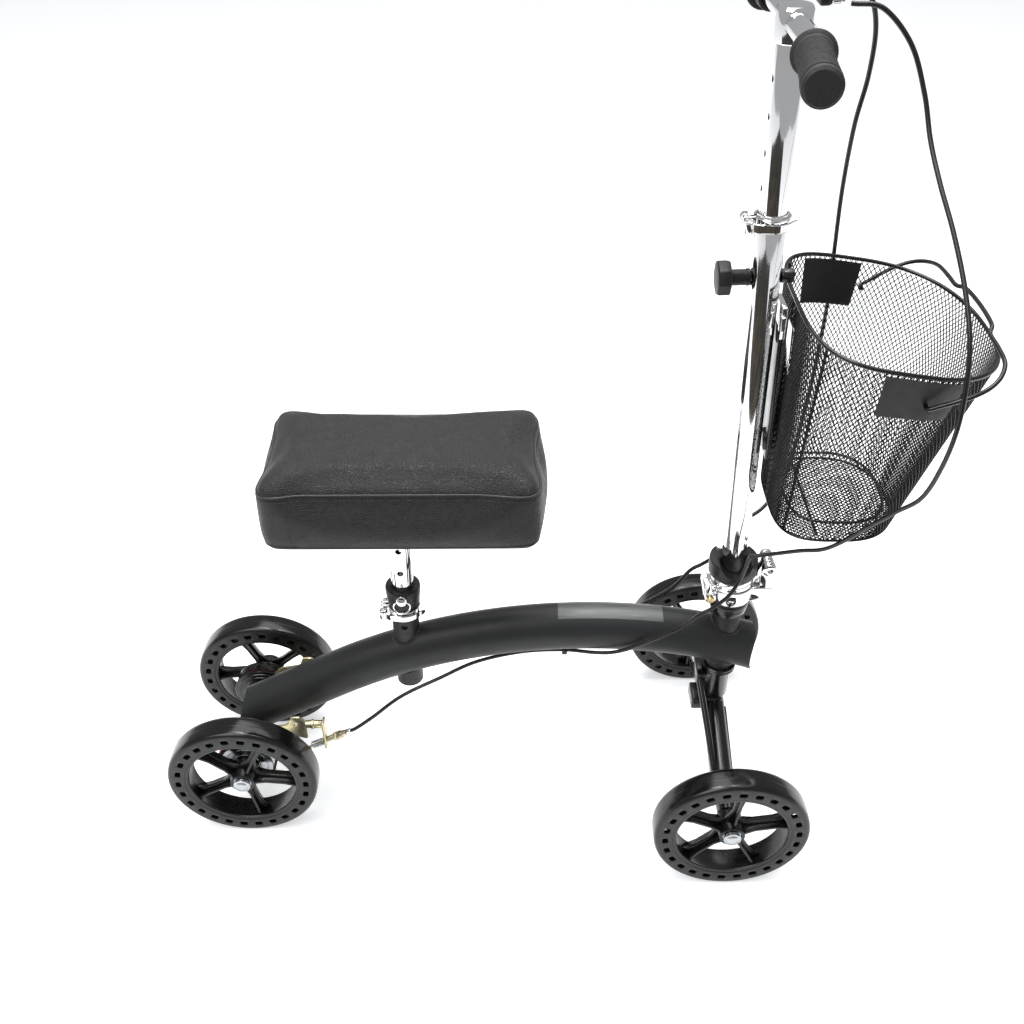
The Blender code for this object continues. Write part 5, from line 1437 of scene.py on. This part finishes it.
def build_handlebar():
    post = turned(sleeve(POST_R, POST_R - 0.0015, POST_LOW, POST_TOP, 0.0004), 56)
    holes = [at(drill(0.0035, -0.03, 0.0, 28), move(0, 0, 0.535 + 0.035 * k), ALONG_X) for k in range(4)]
    piece("upper_stem", at(carved(post, [joined(*holes)]), STEM), "chrome_plate", "handlebar",
          ["upper_post"])
    at_bar = STEM @ move(0, 0, BAR_AT)
    tube = bar(bar_path(), BAR_R, 44, round_ends=False)
    top = turned([(0, POST_TOP + GAP - BAR_AT), (0.0162, POST_TOP + GAP - BAR_AT),
                  (0.0172, POST_TOP + 0.0015 - BAR_AT),
                  (0.0172, 0.0098), (0.0166, 0.0118), (0.0150, 0.0138), (0.0100, 0.0148), (0, 0.0152)], 56)
    piece("bar", at(joined(tube, top), at_bar), "chrome_plate", "handlebar", ["handlebar"])

    path, run = bar_path(), BAR_RUN
    length = 0.108
    for side, sign in (("right", -1), ("left", 1)):
        tip = path[-1] if sign > 0 else path[0]
        way = Vector((run.x, sign * run.y, run.z)).to_track_quat("Z", "Y").to_matrix().to_4x4()
        outside = [(GRIP_R + 0.0020, -length), (GRIP_R + 0.0030, -length + 0.001),
                   (GRIP_R + 0.0030, -length + 0.0035),
                   (GRIP_R + 0.0016, -length + 0.0050), (GRIP_R, -length + 0.0062)]
        for k in range(30):
            z = -length + 0.010 + 0.0030 * k
            swell = -0.0009 * math.sin(math.pi * k / 29)
            outside += [(GRIP_R + swell, z), (GRIP_R + swell, z + 0.0014),
                        (GRIP_R - 0.0008 + swell, z + 0.0018),
                        (GRIP_R - 0.0008 + swell, z + 0.0026)]
        outside += [(GRIP_R, -0.0040), (GRIP_R - 0.0005, -0.0010), (GRIP_R - 0.0030, 0.0012),
                    (0.0050, 0.0018), (0, 0.0018)]
        grip = turned(outside + [(0, GAP), (BAR_R + GAP, GAP), (BAR_R + GAP, -length)], 64)
        piece(f"hand_grip_{side}", at(grip, at_bar, move(*tip), way), "grip_rubber", "handlebar",
              [f"grip_{side}"])

    way = run.to_track_quat("Z", "Y").to_matrix().to_4x4()
    ring = at(turned(sleeve(0.0150, BAR_R + GAP, -0.006, 0.006, 0.0010), 56),
              move(*(path[-1] - run * 0.123)), way)
    px, py, pz = 0.034, 0.088, 0.004
    arm = block((0.030, 0.0105, 0.012), (px - 0.009, py - 0.001, pz), 0.0025)
    stop = block((0.012, 0.020, 0.020), (px + 0.010, py - 0.012, pz), 0.0030)
    barrel = [(0.0027, 0), (0.0050, 0), (0.0055, 0.0006), (0.0055, 0.0080), (0.0050, 0.0086),
              (0.0040, 0.0090),
              (0.0040, 0.0120), (0.0027, 0.0120)]
    piece("lever_perch", at(joined(ring, arm, stop), at_bar), "moulded_nylon", "handlebar", ["brake_perch"])
    barrels = [at(turned(barrel, 32), move(px + 0.0155, y, z), ALONG_X) for y,
               z in ((0.0702, -0.0005), (0.0782, 0.0075))]
    piece("lever_barrels", at(joined(*barrels), at_bar), "chrome_plate", "handlebar")

    blade = [Vector((px + 0.001, py + 0.0150, pz)), Vector((px + 0.010, py + 0.030, pz)),
             Vector((px + 0.009, py + 0.060, pz + 0.001)), Vector((px + 0.000, py + 0.095, pz + 0.003)),
             Vector((px + 0.004, py + 0.118, pz + 0.004))]
    line = smooth_path(blade, 60)
    rings = []
    for i, p in enumerate(line):
        t = (line[min(i + 1, 59)] - line[max(i - 1, 0)]).normalized()
        up = Vector((0, 0, 1))
        out = t.cross(up).normalized()
        share = i / 59
        wide = 0.0062 - 0.0014 * share + 0.0022 * max(0, share - 0.93) / 0.07
        end = math.sqrt(max(0.05, 1 - max(0, (share - 0.95) / 0.052) ** 2))
        rings.append([
            p + out * (0.0036 * end * math.cos(a)) + up * (wide * end * math.sin(a)) for a in around(20)
        ])
    hub = at(turned(rod(0.0066, pz - 0.0055, pz + 0.0055, 0.0010), 40), move(px, py + 0.0125, 0))
    bolt = at(turned(rod(0.0034, pz - 0.0070, pz + 0.0070, 0.0006), 28), move(px, py + 0.0125, 0))
    piece("hand_lever", at(joined(swept(rings), hub), at_bar), "gloss_enamel", "brake_lever",
          ["brake_lever"])
    piece("hand_lever_bolt", at(bolt, at_bar), "brushed_steel", "brake_lever")


# ------------------------------------------------------------------ basket
RIM_CENTRE, BASE_CENTRE = (0.362, 0.741), (0.3385, 0.494)
RIM_FRONT, RIM_BACK, RIM_HALF = 0.106, 0.103, 0.1325
BASE_FRONT, BASE_BACK, BASE_HALF = 0.070, 0.075, 0.083
RIM_SLOPE = -0.155
BAIL_TILT = math.radians(27)
COLUMNS, ROWS = 124, 60
STRAND = 0.0017
FRONT_POWER, BACK_POWER = 2.4, 3.6


def oval_at(turns, front, back, half):
    """A point of the basket's outline seen from above: rounder in front than at the back."""
    a = 2 * math.pi * turns
    c, s = math.cos(a), math.sin(a)
    power = FRONT_POWER if c > 0 else BACK_POWER
    reach = front if c > 0 else back
    return reach * squared(c, 2 / power), half * squared(s, 2 / power)


def even_turns(front, back, half, count):
    """Shares of a turn that step evenly round the oval."""
    fine = [oval_at(k / 1440, front, back, half) for k in range(1441)]
    run = [0.0]
    for a, b in zip(fine, fine[1:]):
        run.append(run[-1] + math.dist(a, b))
    out, j = [], 0
    for k in range(count):
        want = run[-1] * k / count
        while run[j + 1] < want:
            j += 1
        out.append((j + (want - run[j]) / (run[j + 1] - run[j])) / 1440)
    return out


def basket_point(turns, share, inset=0.0):
    """A point of the basket's wall: turns round it, share from its base (0) to its rim (1)."""
    front = BASE_FRONT + (RIM_FRONT - BASE_FRONT) * share - inset
    back = BASE_BACK + (RIM_BACK - BASE_BACK) * share - inset
    half = BASE_HALF + (RIM_HALF - BASE_HALF) * share - inset
    x, y = oval_at(turns, front, back, half)
    cx = BASE_CENTRE[0] + (RIM_CENTRE[0] - BASE_CENTRE[0]) * share
    cz = BASE_CENTRE[1] + (RIM_CENTRE[1] - BASE_CENTRE[1]) * share
    return Vector((cx + x, y, cz + RIM_SLOPE * share * x))


def wired(bm):
    """The bmesh's faces opened into strands of expanded metal."""
    mesh = bpy.data.meshes.new("net")
    bm.to_mesh(mesh)
    bm.free()
    made = bpy.data.objects.new("net", mesh)
    bpy.context.scene.collection.objects.link(made)
    wire = made.modifiers.new("wire", "WIREFRAME")
    wire.thickness, wire.use_even_offset, wire.use_relative_offset = STRAND, False, False
    bake(made)
    mesh = made.data
    bpy.data.objects.remove(made)
    return mesh


def wall_net():
    """Diamonds all round the wall, each one column wide and two rows tall."""
    bm = bmesh.new()
    turns = even_turns(RIM_FRONT, RIM_BACK, RIM_HALF, 2 * COLUMNS)
    grid = []
    for j in range(ROWS + 1):
        share = j / ROWS
        grid.append([bm.verts.new(basket_point(turns[(2 * i + j % 2) % (2 * COLUMNS)], share, 0.0008))
                     for i in range(COLUMNS)])
    for j in range(ROWS - 1):
        for i in range(COLUMNS):
            ahead = (i + 1) % COLUMNS if j % 2 == 0 else i
            right, left = (i, i - 1) if j % 2 == 0 else (ahead + 1, i)
            right %= COLUMNS
            corners = (grid[j][i], grid[j + 1][right], grid[j + 2][i], grid[j + 1][left])
            bm.faces.new(corners)
    return wired(bm)


def base_net():
    """The flat floor of the basket in the same mesh."""
    bm = bmesh.new()
    wide, long_ = 0.0056, 0.0076
    verts = {}

    def inside(x, y):
        reach = BASE_FRONT if x > 0 else BASE_BACK
        power = FRONT_POWER if x > 0 else BACK_POWER
        return (abs(x) / (reach - 0.001)) ** power + (abs(y) / (BASE_HALF - 0.001)) ** power < 1

    def vert(i, j):
        if (i, j) not in verts:
            verts[i, j] = bm.verts.new((BASE_CENTRE[0] + i * long_ / 2, j * wide / 2,
                                        BASE_CENTRE[1] + 0.0008))
        return verts[i, j]

    for i in range(-22, 23):
        for j in range(-34, 35):
            if (i + j) % 2:
                continue
            ring = [(i - 1, j), (i, j - 1), (i + 1, j), (i, j + 1)]
            if all(inside(a * long_ / 2, b * wide / 2) for a, b in ring):
                bm.faces.new([vert(*p) for p in ring])
    return wired(bm)


def ring_wire(share, radius, inset, lift=0.0, count=160):
    turns = even_turns(RIM_FRONT, RIM_BACK, RIM_HALF, count)
    path = [basket_point(t, share, inset) + Vector((0, 0, lift)) for t in turns]
    return bar(path, radius, 14, closed=True)


def build_basket():
    piece("basket_net", joined(wall_net(), base_net()), "gloss_enamel", "basket", ["basket"])
    wires = [ring_wire(1.0, 0.0023, 0.0010), ring_wire(0.0, 0.0016, 0.0014, 0.0006),
             ring_wire(0.07, 0.0017, 0.0170)]
    for t in (0.405, 0.595):
        path = [basket_point(t, k / 20, 0.0034) for k in range(21)]
        wires.append(bar(path, 0.0018, 12))
    x, z = BASE_CENTRE[0] - 0.030, BASE_CENTRE[1] + 0.0030
    path = [(x, y, z) for y in (-0.074, -0.035, 0.0, 0.035, 0.074)]
    wires.append(bar(path, 0.0018, 12))
    piece("basket_wires", joined(*wires), "gloss_enamel", "basket")
    build_badges()


def badge(turns, low, high, wide_low, wide_high, out):
    """A plate bent to the wall: rows from low to high shares, its width given in shares of a turn."""
    rings = []
    rows, columns = 14, 14
    for i in range(rows + 1):
        share = low + (high - low) * i / rows
        wide = wide_low + (wide_high - wide_low) * i / rows
        ring = []
        for inset, order in ((-out - 0.0011, range(columns + 1)), (-out, range(columns, -1, -1))):
            ring += [basket_point(turns + wide * (k / columns - 0.5), share, inset) for k in order]
        rings.append(ring)
    return swept(rings)


def build_badges():
    """A plain black plate on each side: outside the near wall, inside the far one."""
    piece("badge_right", badge(0.764, 0.785, 0.985, 0.076, 0.084, 0.0012), "moulded_nylon", "basket")
    piece("badge_left", badge(0.287, 0.785, 0.985, 0.074, 0.080, -0.0034), "moulded_nylon", "basket")


def build_hanger():
    """The basket's chrome hook plate, and the chrome clasp on the rail that it drops into."""
    hook = block((0.0025, 0.026, 0.056), (0, 0, 0), 0.0009)
    place = move(0.2612, 0, 0.700) @ turn(math.degrees(math.atan2(STEM_UP.x, STEM_UP.z)), "Y")
    piece("hanger_plate", at(hook, place), "chrome_plate", "basket")
    clasp = block((0.0062, 0.0350, 0.0380), (0.0209, 0, 0.3920), 0.0016)
    pressed = block((0.0050, 0.0120, 0.0200), (0.0195, -0.0162, 0.3920), 0.0010)
    piece("rail_clasp", at(joined(clasp, pressed), STEM), "chrome_plate", "stem")


def build_bail():
    half_shape = [(0.0, 0.1265), (0.0004, 0.1345), (0.010, 0.1365), (0.028, 0.1400), (0.044, 0.1415),
                  (0.060, 0.1385),
                  (0.074, 0.1280), (0.084, 0.1090), (0.087, 0.0800), (0.088, 0.0550), (0.0945, 0.0400),
                  (0.0965, 0.0)]
    shape = [(u, -y) for u, y in half_shape] + half_shape[-2::-1]
    c, s = math.cos(BAIL_TILT), math.sin(BAIL_TILT)
    path = smooth_path([(BAIL_PIVOT.x + c * u, y, BAIL_PIVOT.z + s * u) for u, y in shape], 150)
    piece("bail", bar(path, 0.0024, 18), "gloss_enamel", "basket_bail", ["basket_bail"])


# ------------------------------------------------------------------ brake cables
# routes as (x, y, z), written for the side they are named after, or for the left where both sides share one
CABLE_R = 0.0025
FOLD_END = (0.2475, 0.0345, 0.4310)
UPPER_RIGHT = [
    (0.283, 0.066, 1.033), (0.312, 0.060, 1.030), (0.342, 0.050, 1.000), (0.360, 0.036, 0.958),
    (0.368, 0.014, 0.920),
    (0.374, -0.020, 0.890), (0.382, -0.060, 0.858), (0.388, -0.102, 0.822), (0.391, -0.136, 0.785),
    (0.392, -0.154, 0.745), (0.393, -0.159, 0.700), (0.391, -0.155, 0.652), (0.385, -0.143, 0.603),
    (0.370, -0.125, 0.570), (0.352, -0.111, 0.540), (0.332, -0.093, 0.502), (0.316, -0.080, 0.480),
    (0.297, -0.062, 0.463), (0.272, -0.044, 0.443), (FOLD_END[0], -FOLD_END[1], FOLD_END[2]),
]
UPPER_LEFT = [
    (0.283, 0.074, 1.041), (0.303, 0.077, 1.036), (0.316, 0.084, 1.005), (0.320, 0.092, 0.958),
    (0.318, 0.101, 0.905),
    (0.325, 0.124, 0.828), (0.334, 0.1405, 0.750), (0.339, 0.1445, 0.688), (0.338, 0.140, 0.632),
    (0.331, 0.122, 0.580), (0.322, 0.103, 0.526), (0.314, 0.090, 0.496), (0.300, 0.066, 0.466),
    (0.274, 0.044, 0.443), FOLD_END,
]
MIDDLE = [(0.2395, 0.0365, 0.3960), (0.2270, 0.0405, 0.3710)]
LOWER = [
    (0.2070, 0.0428, 0.3515), (0.1930, 0.0428, 0.3410), (0.1700, 0.0385, 0.3130), (0.1240, 0.0350, 0.2820),
    (0.0960, 0.0315, 0.2660), (0.0700, 0.0235, 0.2560), (0.0250, 0.0080, 0.2460), (-0.0310, 0.0080, 0.2420),
    (-0.0900, 0.0150, 0.2310), (-0.1370, 0.0320, 0.2190), (-0.1900, 0.0440, 0.1960),
    (-0.2300, 0.0520, 0.1640),
]


def build_cable(name, points, count, node):
    """A cable along a smooth path through the points, in place of its CAD node."""
    mesh = bar(smooth_path(points, count), CABLE_R, 16)
    mesh.materials.append(LOOKS["cable_jacket"])
    made = bpy.data.objects.new(name, mesh)
    made.location = CENTRE_SHIFT
    bpy.context.scene.collection.objects.link(made)
    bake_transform(made)
    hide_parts(node)


def build_cables():
    tail = CABLE_START + CABLE_RUN * 0.0605
    lead = tail + CABLE_RUN * 0.015
    fold = [FOLD_END] + MIDDLE + [LOWER[0]]
    low = LOWER + [(lead.x, BRAKE_Y, lead.z), (tail.x, BRAKE_Y, tail.z)]
    for side, sign, route in (("right", -1, UPPER_RIGHT), ("left", 1, UPPER_LEFT)):
        own_fold, own_low = ([(x, sign * y, z) for x, y, z in points] for points in (fold, low))
        build_cable(f"brake_cable_high_{side}", route, 260,
                    f"cable_upper_{side}")
        build_cable(f"brake_cable_fold_{side}", own_fold, 50,
                    f"cable_middle_{side}")
        build_cable(f"brake_cable_low_{side}", own_low, 200,
                    f"cable_lower_{side}")
    place = move(0.028, 0, 0.2455)
    clip = block((0.0070, 0.0270, 0.0016), (0, 0, 0.0034), 0.0006)
    sides = [block((0.0070, 0.0016, 0.0075), (0, y, 0.0004), 0.0006) for y in (-0.0128, 0.0128)]
    piece("cable_clip", at(joined(clip, *sides), place), "moulded_nylon", "frame")


# ------------------------------------------------------------------ studio
CAMERA_AT = Vector((-0.0394, -1.0497, 1.2991))
CAMERA_RIGHT = Vector((0.99999, -0.00158, -0.0040))
CAMERA_UP = Vector((0.00413, 0.61794, 0.78621))
LENS_MM, SENSOR_MM = 38.67, 36.0
FLOOR_REACH = 7.0
WORLD_LIGHT = 0.42


def lit(name, size, power, spot, aim, spread=180):
    lamp = bpy.data.lights.new(name, "AREA")
    lamp.shape, lamp.size, lamp.size_y, lamp.energy = "RECTANGLE", size[0], size[1], power
    lamp.spread = math.radians(spread)
    made = bpy.data.objects.new(name, lamp)
    bpy.context.scene.collection.objects.link(made)
    made.location = spot
    made.rotation_euler = (Vector(aim) - Vector(spot)).to_track_quat("-Z", "Y").to_euler()
    return made


def build_studio():
    bm = bmesh.new()
    bmesh.ops.create_grid(bm, x_segments=24, y_segments=24, size=FLOOR_REACH)
    mesh = bpy.data.meshes.new("floor")
    bm.to_mesh(mesh)
    bm.free()
    mesh.materials.append(LOOKS["stage_white"])
    ground = bpy.data.objects.new("floor", mesh)
    bpy.context.scene.collection.objects.link(ground)

    card = block((5.4, 5.8, 0.004), (-1.20, -3.82, 0.004), 0.001)
    card.materials.append(LOOKS["stage_dark"])
    card = bpy.data.objects.new("dark_card", card)
    # the paint and the chrome see it, the camera doesn't
    card.visible_camera = card.visible_shadow = False
    bpy.context.scene.collection.objects.link(card)

    world = bpy.data.worlds.new("studio")
    world.use_nodes = True
    back = world.node_tree.nodes["Background"]
    back.inputs["Color"].default_value = (0.97, 0.98, 1.0, 1.0)
    back.inputs["Strength"].default_value = WORLD_LIGHT
    bpy.context.scene.world = world

    lit("key", (2.0, 2.0), 52, (-1.3, -1.2, 2.9), (0.0, 0.0, 0.2))
    lit("top", (3.0, 3.0), 84, (0.2, 0.9, 3.1), (0.0, 0.1, 0.0))
    for x in (-0.55, -0.35, 0.30, 0.50):
        lit(f"strip_{x}", (0.10, 0.9), 5, (x, 0.30, 2.2), (x * 0.8, 0.0, 0.2))

    data = bpy.data.cameras.new("camera")
    data.lens, data.sensor_width = LENS_MM, SENSOR_MM
    data.clip_start, data.clip_end = 0.05, 50.0
    camera = bpy.data.objects.new("camera", data)
    bpy.context.scene.collection.objects.link(camera)
    backwards = CAMERA_RIGHT.cross(CAMERA_UP).normalized()
    turned_to = Matrix((CAMERA_RIGHT, CAMERA_UP, backwards)).transposed().to_4x4()
    camera.matrix_world = Matrix.Translation(CAMERA_AT + CENTRE_SHIFT) @ turned_to
    bpy.context.scene.camera = camera
    # plain studio contrast: a paper-white ground with black paint that stays black
    bpy.context.scene.view_settings.view_transform = "Standard"


# ------------------------------------------------------------------ assembly
build_beam()
build_welds()
build_stripe()
build_head()
build_seat_tube()
build_rear_axle()
build_wheels()
build_brake("right", -1)
build_brake("left", 1)
build_seat_hardware()
build_seat_post()
build_pad()
build_fork()
build_yoke()
build_socket()
build_fold_barrel()
build_stem()
build_handlebar()
build_basket()
build_hanger()
build_bail()
build_cables()
build_studio()

for node, made in frame["nodes"].items():
    made.data.materials.clear()
    made.data.materials.append(LOOKS[SLOT_LOOKS[NODE_SLOT[node]]])
